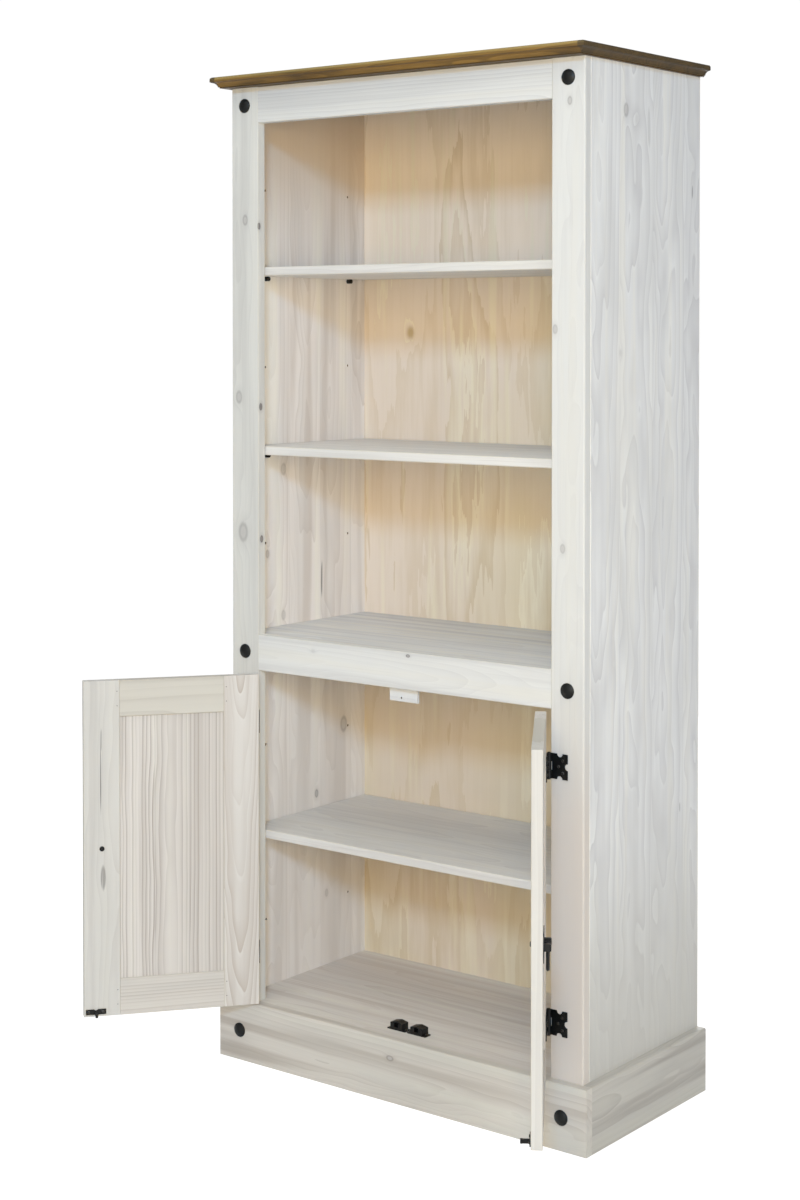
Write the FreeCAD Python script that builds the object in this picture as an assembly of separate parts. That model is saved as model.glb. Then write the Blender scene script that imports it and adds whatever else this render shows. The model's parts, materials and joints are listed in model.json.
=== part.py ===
import FreeCAD, Part
import os

# Two-door bookcase: an open case over a cupboard, in face-frame pine construction.
# Millimetres. X runs to the right, Y to the back, Z up. The origin is on the floor, midway
# along the front, in the plane of the face frame.

# Case
CASE_WIDTH = 768.0
CASE_DEPTH = 370.0
CASE_HEIGHT = 1800.0
SIDE_THICKNESS = 18.0
SHELF_TOP_HEIGHT = 783.0
FIXED_THICKNESS = 18.0
HOUSING_DEPTH = 6.0
HOUSING_CLEARANCE = 0.2
SHELF_STILE_CLEARANCE = 0.5
BACK_THICKNESS = 4.0
BACK_REBATE = 10.0
BACK_CLEARANCE = 0.5

# Face frame
STILE_WIDTH = 64.0
STILE_THICKNESS = 18.0
TOP_RAIL_HEIGHT = 65.0
MIDDLE_RAIL_HEIGHT = 65.5
STILE_ROUND = 3.0
STILE_GROOVE = 1.2

# Top board
TOP_THICKNESS = 20.0
TOP_SIDE_OVERHANG = 21.0
TOP_FRONT_OVERHANG = 37.0
TOP_MOULD_INSET = 13.0
TOP_NOSE_ROUND = 4.5
TOP_NOSE_DEPTH = 9.0
TOP_STEP = 2.5
TOP_LIP = 2.0
TOP_COVE_ALONG = 0.72
TOP_COVE_DOWN = 0.38

# Plinth
PLINTH_HEIGHT = 110.0
PLINTH_THICKNESS = 17.0
PLINTH_ROUND = 3.0
REAR_RAIL_THICKNESS = 18.0

# Loose shelves and their pegs
SHELF_THICKNESS = 16.0
SHELF_END_CLEARANCE = 1.0
SHELF_BACK_CLEARANCE = 2.0
SHELF_FRONT_CLEARANCE = 1.6
SHELF_ROUND = 2.0
PEG_PITCH = 164.0
OPEN_FIRST_PEG = 159.0
OPEN_PEG_ROWS = 5
CUPBOARD_FIRST_PEG = 127.0
CUPBOARD_PEG_ROWS = 3
UPPER_SHELF_ROW = 3
CENTRE_SHELF_ROW = 1
CUPBOARD_SHELF_ROW = 1
PEG_FRONT_INSET = 54.0
PEG_BACK_INSET = 56.0
PEG_HEAD_R = 4.5
PEG_FLAT = 4.0
PEG_HEAD_LENGTH = 9.0
PEG_PIN_R = 2.5
PEG_PIN_LENGTH = 10.0
PEG_HOLE_DEPTH = 11.0

# Doors, drawn closed and then swung open
LEFT_DOOR_OPEN = 128.0
RIGHT_DOOR_OPEN = 123.0
DOOR_THICKNESS = 18.0
DOOR_SIDE_GAP = 2.0
DOOR_MEETING_GAP = 2.0
DOOR_END_GAP = 3.5
DOOR_STILE_WIDTH = 65.0
DOOR_RAIL_WIDTH = 65.0
DOOR_PANEL_THICKNESS = 9.0
DOOR_GROOVE_DEPTH = 9.0
DOOR_GROOVE_CLEARANCE = 0.2
DOOR_PANEL_ROOM = 1.0
DOOR_EDGE_ROUND = 1.5
DOOR_MOULD_CHAMFER = 1.0
JOINT_PIN_R = 0.8
JOINT_PIN_LENGTH = 14.0
JOINT_PIN_INSET = 5.0
JOINT_PIN_PITCH = 26.0

# Surface hinges
HINGE_INSET = 89.0
HINGE_HEIGHT = 42.0
LEAF_WIDTH = 34.4
LEAF_THICKNESS = 2.0
LEAF_NOTCH_R = 5.5
LEAF_NEAR_SCREW = 17.3
LEAF_FAR_SCREW = 25.4
LEAF_SCREW_RISE = 10.2
KNUCKLE_R = 4.0
KNUCKLE_STANDOFF = 0.4
KNUCKLE_GAP = 0.3
KNUCKLE_RELIEF = 0.5
HINGE_PIN_R = 1.5
HINGE_PIN_HEAD_R = 2.6
HINGE_PIN_HEAD = 1.6

# Drop pulls
PULL_PLATE = 45.0
PULL_PLATE_THICKNESS = 1.5
PULL_NOTCH_R = 6.0
PULL_EAR_CENTRE = 15.5
PULL_EAR_WIDTH = 6.0
PULL_EAR_REACH = 11.0
PULL_EAR_HEIGHT = 11.4
PULL_EAR_ROUND = 2.5
PULL_AXIS_REACH = 5.5
PULL_ROD_R = 2.8
PULL_ARM_CENTRE = 9.0
PULL_ARM_LENGTH = 28.0
PULL_PIVOT_R = 1.5
PULL_PIVOT_DEPTH = 3.5
PULL_BOSS_R = 5.0
PULL_BOSS_REACH = 4.0
PULL_BOLT_R = 2.0
PULL_BOLT_HEAD_R = 4.6
PULL_BOLT_HEAD = 2.4

# Snap catches and spear strikes
STRIKE_EDGE_INSET = 21.0
STRIKE_WIDTH = 36.0
STRIKE_HEIGHT = 9.5
STRIKE_THICKNESS = 2.0
STRIKE_RISE = 4.0
STRIKE_SCREW_SPREAD = 13.0
STRIKE_NOTCH_WIDTH = 8.0
STRIKE_NOTCH_DEPTH = 2.5
SPEAR_DROP = 3.0
SPEAR_REACH = 14.5
SPEAR_HEIGHT = 7.0
SPEAR_NECK_THICKNESS = 3.2
SPEAR_BULB_R = 2.5
CATCH_FRONT_GAP = 6.0
CATCH_FLANGE_WIDTH = 40.0
CATCH_FLANGE_DEPTH = 16.0
CATCH_FLANGE_THICKNESS = 2.0
CATCH_BODY_WIDTH = 26.0
CATCH_BODY_DEPTH = 18.0
CATCH_EAVES = 13.0
CATCH_RIDGE = 15.5
CATCH_SLOT_SIDE_ROOM = 2.0
CATCH_CAVITY_SIDE_ROOM = 3.5
CATCH_LIP_DEPTH = 5.0
CATCH_BACK_WALL = 2.0
CATCH_SLOT_END_ROOM = 0.6
CATCH_SCREW_SPREAD = 16.5

# Door stop block
STOP_WIDTH = 60.0
STOP_THICKNESS = 6.0
STOP_DROP = 26.0
STOP_RISE = 40.0
STOP_HOLE_R = 2.0
STOP_HOLE_RISE = 6.8
STOP_HOLE_X = -4.5
STOP_SCREW_SPREAD = 18.0
STOP_SCREW_RISE = 50.0
STOP_CLEARANCE = 0.5

# Studs
STUD_R = 13.0
STUD_RISE = 5.5
STUD_RIM = 1.2
STUD_STEM_R = 3.0
STUD_STEM_LENGTH = 12.0

# Fasteners
DOWEL_R = 4.0
DOWEL_END_ROOM = 0.5
RAIL_DOWEL_LENGTH = 36.0
RAIL_DOWEL_PITCH = 32.0
EDGE_DOWEL_LENGTH = 30.0
EDGE_DOWEL_IN_FACE = 11.0
SIDE_DOWEL_COUNT = 5
SIDE_DOWEL_END = 150.0
TOP_DOWEL_COUNT = 3
TOP_DOWEL_END = 60.0
TOP_RAIL_DOWEL_SPREAD = 150.0
SHELF_DOWEL_SPREAD = 220.0
SCREW_R = 1.6
SCREW_LENGTH = 14.0
SCREW_HEAD_R = 2.6
SCREW_HEAD = 1.4
HEAD_FLAT_SHARE = 0.6
HEAD_RIM_SHARE = 0.4
PLINTH_SCREW_R = 2.0
PLINTH_SCREW_HEAD_R = 4.0
PLINTH_SCREW_HEAD = 2.4
PLINTH_SCREW_BITE = 12.0
PLINTH_SCREW_INSET = 42.0
PLINTH_SCREW_END = 60.0
PLINTH_SCREW_PITCH = 32.0
PLINTH_SIDE_SCREW_COUNT = 3
NAIL_R = 0.8
NAIL_LENGTH = 16.0
NAIL_HEAD_R = 2.2
NAIL_HEAD = 0.8
SIDE_NAIL_COUNT = 9
CROSS_NAIL_COUNT = 4
NAIL_END = 40.0
FIT_CLEARANCE = 0.05
SAME_PLACE = 1e-6

# Places worked out from the sizes above
RAIL_THICKNESS = DOOR_THICKNESS + STOP_CLEARANCE
HALF_WIDTH = CASE_WIDTH / 2
INSIDE_HALF = HALF_WIDTH - SIDE_THICKNESS
OPENING_HALF = HALF_WIDTH - STILE_WIDTH
CASE_TOP = CASE_HEIGHT - TOP_THICKNESS
BACK_FACE = CASE_DEPTH - BACK_THICKNESS
STILE_CENTRE = HALF_WIDTH - STILE_WIDTH / 2
SIDE_CENTRE = HALF_WIDTH - SIDE_THICKNESS / 2
MIDDLE_RAIL_BOTTOM = SHELF_TOP_HEIGHT - MIDDLE_RAIL_HEIGHT
TOP_RAIL_BOTTOM = CASE_TOP - TOP_RAIL_HEIGHT
FIXED_UNDERSIDE = SHELF_TOP_HEIGHT - FIXED_THICKNESS
BOTTOM_UNDERSIDE = PLINTH_HEIGHT - FIXED_THICKNESS
RAIL_LEVELS = (CASE_TOP - TOP_RAIL_HEIGHT / 2, SHELF_TOP_HEIGHT - MIDDLE_RAIL_HEIGHT / 2)
OPEN_PEG_LEVELS = [SHELF_TOP_HEIGHT + OPEN_FIRST_PEG + i * PEG_PITCH for i in range(OPEN_PEG_ROWS)]
CUPBOARD_PEG_LEVELS = [PLINTH_HEIGHT + CUPBOARD_FIRST_PEG + i * PEG_PITCH for i in range(CUPBOARD_PEG_ROWS)]
UPPER_SHELF_LEVEL = OPEN_PEG_LEVELS[UPPER_SHELF_ROW]
CENTRE_SHELF_LEVEL = OPEN_PEG_LEVELS[CENTRE_SHELF_ROW]
CUPBOARD_SHELF_LEVEL = CUPBOARD_PEG_LEVELS[CUPBOARD_SHELF_ROW]
DOOR_BOTTOM = PLINTH_HEIGHT + DOOR_END_GAP
DOOR_TOP = MIDDLE_RAIL_BOTTOM - DOOR_END_GAP
DOOR_MIDDLE = (DOOR_BOTTOM + DOOR_TOP) / 2
DOOR_HINGE_EDGE = -OPENING_HALF + DOOR_SIDE_GAP
DOOR_FREE_EDGE = -DOOR_MEETING_GAP / 2
HINGE_X = -OPENING_HALF + DOOR_SIDE_GAP / 2
HINGE_Y = -KNUCKLE_R - KNUCKLE_STANDOFF
HINGE_LEVELS = (DOOR_BOTTOM + HINGE_INSET, DOOR_TOP - HINGE_INSET)
PULL_X = DOOR_FREE_EDGE - DOOR_STILE_WIDTH / 2
STRIKE_X = DOOR_FREE_EDGE - STRIKE_EDGE_INSET
STRIKE_LEVEL = DOOR_BOTTOM + STRIKE_RISE + STRIKE_HEIGHT / 2
SPEAR_LEVEL = STRIKE_LEVEL - SPEAR_DROP
CATCH_FRONT = DOOR_THICKNESS + STRIKE_THICKNESS + CATCH_FRONT_GAP

X_AXIS = FreeCAD.Vector(1, 0, 0)
Y_AXIS = FreeCAD.Vector(0, 1, 0)
Z_AXIS = FreeCAD.Vector(0, 0, 1)
ORIGIN = FreeCAD.Vector(0, 0, 0)


def box(x0, x1, y0, y1, z0, z1):
    """A block between two corners, whichever way round they are given."""
    low = FreeCAD.Vector(min(x0, x1), min(y0, y1), min(z0, z1))
    return Part.makeBox(abs(x1 - x0), abs(y1 - y0), abs(z1 - z0), low)


def rod(radius, length, start, direction):
    """A round bar from a start point along a direction."""
    return Part.makeCylinder(radius, length, FreeCAD.Vector(*start), direction)


def edges_along(shape, axis, *tests):
    """The straight edges that run along an axis and whose middle passes every test."""
    found = []
    for edge in shape.Edges:
        if not isinstance(edge.Curve, Part.Line):
            continue
        if edge.tangentAt(edge.FirstParameter).cross(axis).Length > SAME_PLACE:
            continue
        middle = edge.CenterOfMass
        if all(abs(getattr(middle, name) - value) < SAME_PLACE for name, value in tests):
            found.append(edge)
    return found


def eased(shape, radius, axis, *places):
    """Round the edges along an axis at each of the given places."""
    edges = []
    for place in places:
        edges += edges_along(shape, axis, *place)
    return shape.makeFillet(radius, edges)


def bevelled(shape, size, axis, *places):
    """Chamfer the edges along an axis at each of the given places."""
    edges = []
    for place in places:
        edges += edges_along(shape, axis, *place)
    return shape.makeChamfer(size, edges)


def mirrored(shape):
    """The same piece on the other side of the middle plane."""
    return shape.mirror(ORIGIN, X_AXIS)


def both_sides(shapes):
    """A list of pieces with their mirror images."""
    return shapes + [mirrored(shape) for shape in shapes]


def spread(first, last, count):
    """Evenly spaced places from first to last."""
    return [first + (last - first) * i / (count - 1) for i in range(count)]


def turned(profile, start, direction):
    """Spin a profile of (radius, height) points, straight between points, about Z and aim it."""
    points = [FreeCAD.Vector(r, 0, h) for r, h in profile]
    points.append(points[0])
    solid = Part.Face(Part.makePolygon(points)).revolve(ORIGIN, Z_AXIS, 360)
    solid.Placement = FreeCAD.Placement(FreeCAD.Vector(*start), FreeCAD.Rotation(Z_AXIS, direction))
    return solid


def headed(shank_r, length, head_r, head, seat, direction):
    """A screw or nail: a shank that runs in along a direction under a bevelled head."""
    profile = [
        (0, -head),
        (head_r * HEAD_FLAT_SHARE, -head),
        (head_r, -head * HEAD_RIM_SHARE),
        (head_r, 0),
        (shank_r, 0),
        (shank_r, length - shank_r * 2),
        (0, length),
    ]
    return turned(profile, seat, direction)


def headed_hole(shank_r, length, seat, direction):
    """The hole that such a screw or nail bites into."""
    return rod(shank_r + FIT_CLEARANCE, length + FIT_CLEARANCE, seat, direction)


def small_screw(seat, direction):
    """A screw of the hinges, catches and strikes."""
    return headed(SCREW_R, SCREW_LENGTH, SCREW_HEAD_R, SCREW_HEAD, seat, direction)


def small_screw_hole(seat, direction):
    return headed_hole(SCREW_R, SCREW_LENGTH, seat, direction)


def dowel_places():
    """Every dowel of the right half and the middle: middle point, direction, length."""
    half = RAIL_DOWEL_PITCH / 2
    places = []
    for level in RAIL_LEVELS:
        for rise in (-half, half):
            places.append(((OPENING_HALF, STILE_THICKNESS / 2, level + rise), X_AXIS, RAIL_DOWEL_LENGTH))
    face_shift = EDGE_DOWEL_LENGTH / 2 - EDGE_DOWEL_IN_FACE
    for level in spread(SIDE_DOWEL_END, CASE_TOP - SIDE_DOWEL_END, SIDE_DOWEL_COUNT):
        places.append(((SIDE_CENTRE, STILE_THICKNESS + face_shift, level), Y_AXIS, EDGE_DOWEL_LENGTH))
    for depth in spread(STILE_THICKNESS + TOP_DOWEL_END, CASE_DEPTH - TOP_DOWEL_END, TOP_DOWEL_COUNT):
        places.append(((SIDE_CENTRE, depth, CASE_TOP - face_shift), Z_AXIS, EDGE_DOWEL_LENGTH))
    rail_middle = RAIL_THICKNESS / 2
    places.append(((TOP_RAIL_DOWEL_SPREAD, rail_middle, CASE_TOP - face_shift), Z_AXIS, EDGE_DOWEL_LENGTH))
    shelf_level = SHELF_TOP_HEIGHT - FIXED_THICKNESS / 2
    places.append(((SHELF_DOWEL_SPREAD, RAIL_THICKNESS + face_shift, shelf_level), Y_AXIS, EDGE_DOWEL_LENGTH))
    rear_middle = BACK_FACE - REAR_RAIL_THICKNESS / 2
    inward = INSIDE_HALF - face_shift
    for rise in (-half, half):
        places.append(((inward, rear_middle, BOTTOM_UNDERSIDE / 2 + rise), X_AXIS, EDGE_DOWEL_LENGTH))
    return places


def dowel(place, extra_r=0.0, extra_end=0.0):
    """A dowel, or with the extra sizes the hole it sits in."""
    middle, direction, length = place
    start = FreeCAD.Vector(*middle) - direction * (length / 2 + extra_end)
    return Part.makeCylinder(DOWEL_R + extra_r, length + 2 * extra_end, start, direction)


def case_dowels():
    return both_sides([dowel(place) for place in dowel_places()])


def dowel_holes():
    return both_sides([dowel(place, FIT_CLEARANCE, DOWEL_END_ROOM) for place in dowel_places()])


def nail_places():
    """Nail heads round the back panel: (x, z) on both sides and across the fixed boards."""
    side_x = INSIDE_HALF + BACK_REBATE / 2
    places = []
    for level in spread(BOTTOM_UNDERSIDE + NAIL_END, CASE_TOP - NAIL_END, SIDE_NAIL_COUNT):
        places += [(-side_x, level), (side_x, level)]
    for level in (PLINTH_HEIGHT - FIXED_THICKNESS / 2, SHELF_TOP_HEIGHT - FIXED_THICKNESS / 2):
        for x in spread(-INSIDE_HALF + NAIL_END, INSIDE_HALF - NAIL_END, CROSS_NAIL_COUNT):
            places.append((x, level))
    return places


def back_panel_nails():
    seat = CASE_DEPTH - NAIL_HEAD
    nails = []
    for x, z in nail_places():
        nails.append(headed(NAIL_R, NAIL_LENGTH, NAIL_HEAD_R, NAIL_HEAD, (x, seat, z), -Y_AXIS))
    return nails


def nail_holes():
    """Nail shank holes, with a sunk seat for each flat head."""
    seat = CASE_DEPTH - NAIL_HEAD
    holes = []
    for x, z in nail_places():
        shank = headed_hole(NAIL_R, NAIL_LENGTH, (x, seat, z), -Y_AXIS)
        holes.append(shank.fuse(rod(NAIL_HEAD_R + FIT_CLEARANCE, NAIL_HEAD, (x, seat, z), Y_AXIS)))
    return holes


def plinth_screw_places():
    """Right-hand plinth screws, driven from inside: head seat and direction."""
    level = PLINTH_HEIGHT / 2
    half = PLINTH_SCREW_PITCH / 2
    front_x = HALF_WIDTH - PLINTH_SCREW_INSET
    places = [((front_x, STILE_THICKNESS, level + rise), -Y_AXIS) for rise in (-half, half)]
    first = STILE_THICKNESS + PLINTH_SCREW_END
    for depth in spread(first, BACK_FACE - PLINTH_SCREW_END, PLINTH_SIDE_SCREW_COUNT):
        places.append(((INSIDE_HALF, depth, level), X_AXIS))
    return places


def plinth_screws():
    screws = []
    for seat, direction in plinth_screw_places():
        board = STILE_THICKNESS if direction == -Y_AXIS else SIDE_THICKNESS
        length = board + PLINTH_SCREW_BITE
        screws.append(headed(PLINTH_SCREW_R, length, PLINTH_SCREW_HEAD_R, PLINTH_SCREW_HEAD, seat, direction))
    return both_sides(screws)


def plinth_screw_holes():
    holes = []
    for seat, direction in plinth_screw_places():
        board = STILE_THICKNESS if direction == -Y_AXIS else SIDE_THICKNESS
        holes.append(headed_hole(PLINTH_SCREW_R, board + PLINTH_SCREW_BITE, seat, direction))
    return both_sides(holes)


def stud_places():
    """Studs of the right half: where each sits on the front, as (x, y, z)."""
    places = [(STILE_CENTRE, 0.0, level) for level in RAIL_LEVELS]
    places.append((STILE_CENTRE, -PLINTH_THICKNESS, PLINTH_HEIGHT / 2))
    return places


def stud(place):
    """A domed stud: the cap of a sphere over a thin rim, on a round stem."""
    ball_r = (STUD_R ** 2 + (STUD_RISE - STUD_RIM) ** 2) / (2 * (STUD_RISE - STUD_RIM))
    ball = Part.makeSphere(ball_r, FreeCAD.Vector(0, 0, STUD_RISE - ball_r))
    dome = ball.common(Part.makeCylinder(STUD_R, STUD_RISE, FreeCAD.Vector(0, 0, STUD_RIM)))
    cap = dome.fuse(Part.makeCylinder(STUD_R, STUD_RIM))
    solid = cap.fuse(Part.makeCylinder(STUD_STEM_R, STUD_STEM_LENGTH, ORIGIN, -Z_AXIS)).removeSplitter()
    solid.Placement = FreeCAD.Placement(FreeCAD.Vector(*place), FreeCAD.Rotation(Z_AXIS, -Y_AXIS))
    return solid


def studs():
    return both_sides([stud(place) for place in stud_places()])


def stud_holes():
    length = STUD_STEM_LENGTH + FIT_CLEARANCE
    return both_sides([rod(STUD_STEM_R + FIT_CLEARANCE, length, place, Y_AXIS) for place in stud_places()])


def top_board():
    """A board with the same nose, step and cove along its front and both ends, mitred."""
    thickness = TOP_THICKNESS
    cove_end = (TOP_MOULD_INSET - TOP_LIP, thickness - TOP_LIP)
    cove_start = (TOP_STEP, TOP_NOSE_DEPTH + TOP_STEP / 2)
    cove_middle = (cove_start[0] + (cove_end[0] - cove_start[0]) * TOP_COVE_ALONG,
                   cove_start[1] + (cove_end[1] - cove_start[1]) * TOP_COVE_DOWN)
    nose_r = TOP_NOSE_ROUND
    slack = nose_r * (1 - 0.5 ** 0.5)

    def edge_lines(at):
        """Edges of the moulding from the top face down, through a point-placing function."""
        nose = Part.Arc(at(nose_r, 0), at(slack, slack), at(0, nose_r)).toShape()
        cove = Part.Arc(at(*cove_start), at(*cove_middle), at(*cove_end)).toShape()
        run = [(0, nose_r), (0, TOP_NOSE_DEPTH), cove_start]
        foot = [cove_end, (TOP_MOULD_INSET, thickness - TOP_LIP), (TOP_MOULD_INSET, thickness)]
        lines = [nose]
        lines += [Part.makeLine(at(*a), at(*b)) for a, b in zip(run, run[1:])]
        lines.append(cove)
        lines += [Part.makeLine(at(*a), at(*b)) for a, b in zip(foot, foot[1:])]
        return lines

    width = CASE_WIDTH + 2 * TOP_SIDE_OVERHANG
    left = -width / 2

    def front(u, v):
        return FreeCAD.Vector(left, -TOP_FRONT_OVERHANG + u, CASE_HEIGHT - v)

    back_top = FreeCAD.Vector(left, CASE_DEPTH, CASE_HEIGHT)
    back_low = FreeCAD.Vector(left, CASE_DEPTH, CASE_TOP)
    lines = edge_lines(front)
    lines.append(Part.makeLine(front(TOP_MOULD_INSET, thickness), back_low))
    lines.append(Part.makeLine(back_low, back_top))
    lines.append(Part.makeLine(back_top, front(nose_r, 0)))
    long_way = Part.Face(Part.Wire(Part.__sortEdges__(lines))).extrude(X_AXIS * width)

    def left_end(u, v):
        return FreeCAD.Vector(left + u, -TOP_FRONT_OVERHANG, CASE_HEIGHT - v)

    def right_end(u, v):
        return FreeCAD.Vector(-left - u, -TOP_FRONT_OVERHANG, CASE_HEIGHT - v)

    lines = edge_lines(left_end) + edge_lines(right_end)
    lines.append(Part.makeLine(left_end(nose_r, 0), right_end(nose_r, 0)))
    lines.append(Part.makeLine(left_end(TOP_MOULD_INSET, thickness), right_end(TOP_MOULD_INSET, thickness)))
    depth = CASE_DEPTH + TOP_FRONT_OVERHANG
    across = Part.Face(Part.Wire(Part.__sortEdges__(lines))).extrude(Y_AXIS * depth)
    return long_way.common(across)


def peg_places():
    """(depth, level) of every peg hole on one side panel."""
    front = STILE_THICKNESS + PEG_FRONT_INSET
    back = CASE_DEPTH - PEG_BACK_INSET
    levels = CUPBOARD_PEG_LEVELS + OPEN_PEG_LEVELS
    return [(depth, level) for level in levels for depth in (front, back)]


def side_panel():
    """The right side panel: housings for the fixed boards, a rebate for the back, peg holes."""
    panel = box(INSIDE_HALF, HALF_WIDTH, STILE_THICKNESS, CASE_DEPTH, 0, CASE_TOP)
    outer_front = (("x", HALF_WIDTH), ("y", STILE_THICKNESS))
    panel = bevelled(panel, STILE_GROOVE, Z_AXIS, outer_front)
    cuts = []
    housing_end = INSIDE_HALF + HOUSING_DEPTH
    for top in (PLINTH_HEIGHT, SHELF_TOP_HEIGHT):
        low = top - FIXED_THICKNESS
        cuts.append(box(INSIDE_HALF, housing_end, STILE_THICKNESS, BACK_FACE, low, top + HOUSING_CLEARANCE))
    rebate_end = INSIDE_HALF + BACK_REBATE
    cuts.append(box(INSIDE_HALF, rebate_end, BACK_FACE, CASE_DEPTH, BOTTOM_UNDERSIDE, CASE_TOP))
    for depth, level in peg_places():
        cuts.append(rod(PEG_PIN_R + FIT_CLEARANCE, PEG_HOLE_DEPTH, (INSIDE_HALF, depth, level), X_AXIS))
    return panel.cut(cuts)


def front_stile():
    """The right front stile, from the floor to the top board."""
    stile = box(OPENING_HALF, HALF_WIDTH, 0, STILE_THICKNESS, 0, CASE_TOP)
    stile = eased(stile, STILE_ROUND, Z_AXIS, (("x", HALF_WIDTH), ("y", 0)))
    stile = eased(stile, STILE_ROUND / 2, Z_AXIS, (("x", OPENING_HALF), ("y", 0)))
    return bevelled(stile, STILE_GROOVE, Z_AXIS, (("x", HALF_WIDTH), ("y", STILE_THICKNESS)))


def face_rail(low, high):
    """A rail of the face frame between the stiles, with its front edges eased."""
    rail = box(-OPENING_HALF, OPENING_HALF, 0, RAIL_THICKNESS, low, high)
    return eased(rail, STILE_ROUND / 2, X_AXIS, (("y", 0), ("z", low)), (("y", 0), ("z", high)))


def middle_shelf():
    """The fixed shelf, housed in both side panels, against the middle rail and level with it."""
    reach = INSIDE_HALF + HOUSING_DEPTH - HOUSING_CLEARANCE
    front = STILE_THICKNESS + SHELF_STILE_CLEARANCE
    shelf = box(-reach, reach, front, BACK_FACE, FIXED_UNDERSIDE, SHELF_TOP_HEIGHT)
    if RAIL_THICKNESS < front:
        tongue = OPENING_HALF - HOUSING_CLEARANCE
        between = box(-tongue, tongue, RAIL_THICKNESS, front, FIXED_UNDERSIDE, SHELF_TOP_HEIGHT)
        shelf = shelf.fuse(between).removeSplitter()
    if RAIL_THICKNESS > front:
        notch = OPENING_HALF + HOUSING_CLEARANCE
        shelf = shelf.cut(box(-notch, notch, front, RAIL_THICKNESS, FIXED_UNDERSIDE, SHELF_TOP_HEIGHT))
    return shelf


def bottom_panel():
    """The cupboard floor: housed in the side panels, with a tongue forward between the stiles."""
    reach = INSIDE_HALF + HOUSING_DEPTH - HOUSING_CLEARANCE
    tongue = OPENING_HALF - HOUSING_CLEARANCE
    panel = box(-reach, reach, STILE_THICKNESS, BACK_FACE, BOTTOM_UNDERSIDE, PLINTH_HEIGHT)
    front = box(-tongue, tongue, 0, STILE_THICKNESS, BOTTOM_UNDERSIDE, PLINTH_HEIGHT)
    return panel.fuse(front).removeSplitter()


def back_panel():
    """Thin plywood in the rebates of the side panels."""
    reach = INSIDE_HALF + BACK_REBATE - BACK_CLEARANCE
    return box(-reach, reach, BACK_FACE, CASE_DEPTH, BOTTOM_UNDERSIDE, CASE_TOP)


def plinth_front_board():
    """The plinth's front board, which covers the ends of the side boards."""
    reach = HALF_WIDTH + PLINTH_THICKNESS
    board = box(-reach, reach, -PLINTH_THICKNESS, 0, 0, PLINTH_HEIGHT)
    front_top = (("y", -PLINTH_THICKNESS), ("z", PLINTH_HEIGHT))
    return eased(board, PLINTH_ROUND, X_AXIS, front_top)


def plinth_side_board():
    """The right plinth board, planted on the side panel behind the front board."""
    reach = HALF_WIDTH + PLINTH_THICKNESS
    board = box(HALF_WIDTH, reach, 0, CASE_DEPTH, 0, PLINTH_HEIGHT)
    return eased(board, PLINTH_ROUND, Y_AXIS, (("x", reach), ("z", PLINTH_HEIGHT)))


def plinth_rear_rail():
    """The rail under the back of the bottom panel, between the side panels."""
    return box(-INSIDE_HALF, INSIDE_HALF, BACK_FACE - REAR_RAIL_THICKNESS, BACK_FACE, 0, BOTTOM_UNDERSIDE)


def loose_shelf(level):
    """A loose shelf on the flats of its four pegs, clear of the bolt heads inside the doors."""
    reach = INSIDE_HALF - SHELF_END_CLEARANCE
    low = level + PEG_FLAT
    high = low + SHELF_THICKNESS
    front = max(STILE_THICKNESS, DOOR_THICKNESS + PULL_BOLT_HEAD) + SHELF_FRONT_CLEARANCE
    shelf = box(-reach, reach, front, BACK_FACE - SHELF_BACK_CLEARANCE, low, high)
    return eased(shelf, SHELF_ROUND, X_AXIS, (("y", front), ("z", low)), (("y", front), ("z", high)))


def shelf_pegs():
    """Four pegs for each loose shelf: a pin in the panel and a head with a flat on top."""
    pegs = []
    for depth, level in peg_places():
        if level not in (UPPER_SHELF_LEVEL, CENTRE_SHELF_LEVEL, CUPBOARD_SHELF_LEVEL):
            continue
        head = rod(PEG_HEAD_R, PEG_HEAD_LENGTH, (INSIDE_HALF, depth, level), -X_AXIS)
        above = box(INSIDE_HALF, INSIDE_HALF - PEG_HEAD_LENGTH, depth - PEG_HEAD_R, depth + PEG_HEAD_R,
                    level + PEG_FLAT, level + PEG_HEAD_R)
        pin = rod(PEG_PIN_R, PEG_PIN_LENGTH, (INSIDE_HALF, depth, level), X_AXIS)
        pegs.append(head.cut(above).fuse(pin).removeSplitter())
    return both_sides(pegs)


def door_stop_block():
    """The block behind the middle rail that the doors close against."""
    low = MIDDLE_RAIL_BOTTOM - STOP_DROP
    high = MIDDLE_RAIL_BOTTOM + STOP_RISE
    back = RAIL_THICKNESS + STOP_THICKNESS
    block = box(-STOP_WIDTH / 2, STOP_WIDTH / 2, RAIL_THICKNESS, back, low, high)
    block = eased(block, SHELF_ROUND, X_AXIS, (("y", RAIL_THICKNESS), ("z", low)))
    return block.cut(rod(STOP_HOLE_R, STOP_THICKNESS, (STOP_HOLE_X, RAIL_THICKNESS, low + STOP_HOLE_RISE), Y_AXIS))


def stop_screw_seats():
    level = MIDDLE_RAIL_BOTTOM - STOP_DROP + STOP_SCREW_RISE
    return [(x, RAIL_THICKNESS + STOP_THICKNESS, level) for x in (-STOP_SCREW_SPREAD, STOP_SCREW_SPREAD)]


def door_stop_screws():
    length = STOP_THICKNESS + PLINTH_SCREW_BITE
    screws = []
    for seat in stop_screw_seats():
        screws.append(headed(PLINTH_SCREW_R, length, PLINTH_SCREW_HEAD_R, PLINTH_SCREW_HEAD, seat, -Y_AXIS))
    return screws


def stop_screw_holes():
    length = STOP_THICKNESS + PLINTH_SCREW_BITE
    return [headed_hole(PLINTH_SCREW_R, length, seat, -Y_AXIS) for seat in stop_screw_seats()]


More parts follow.
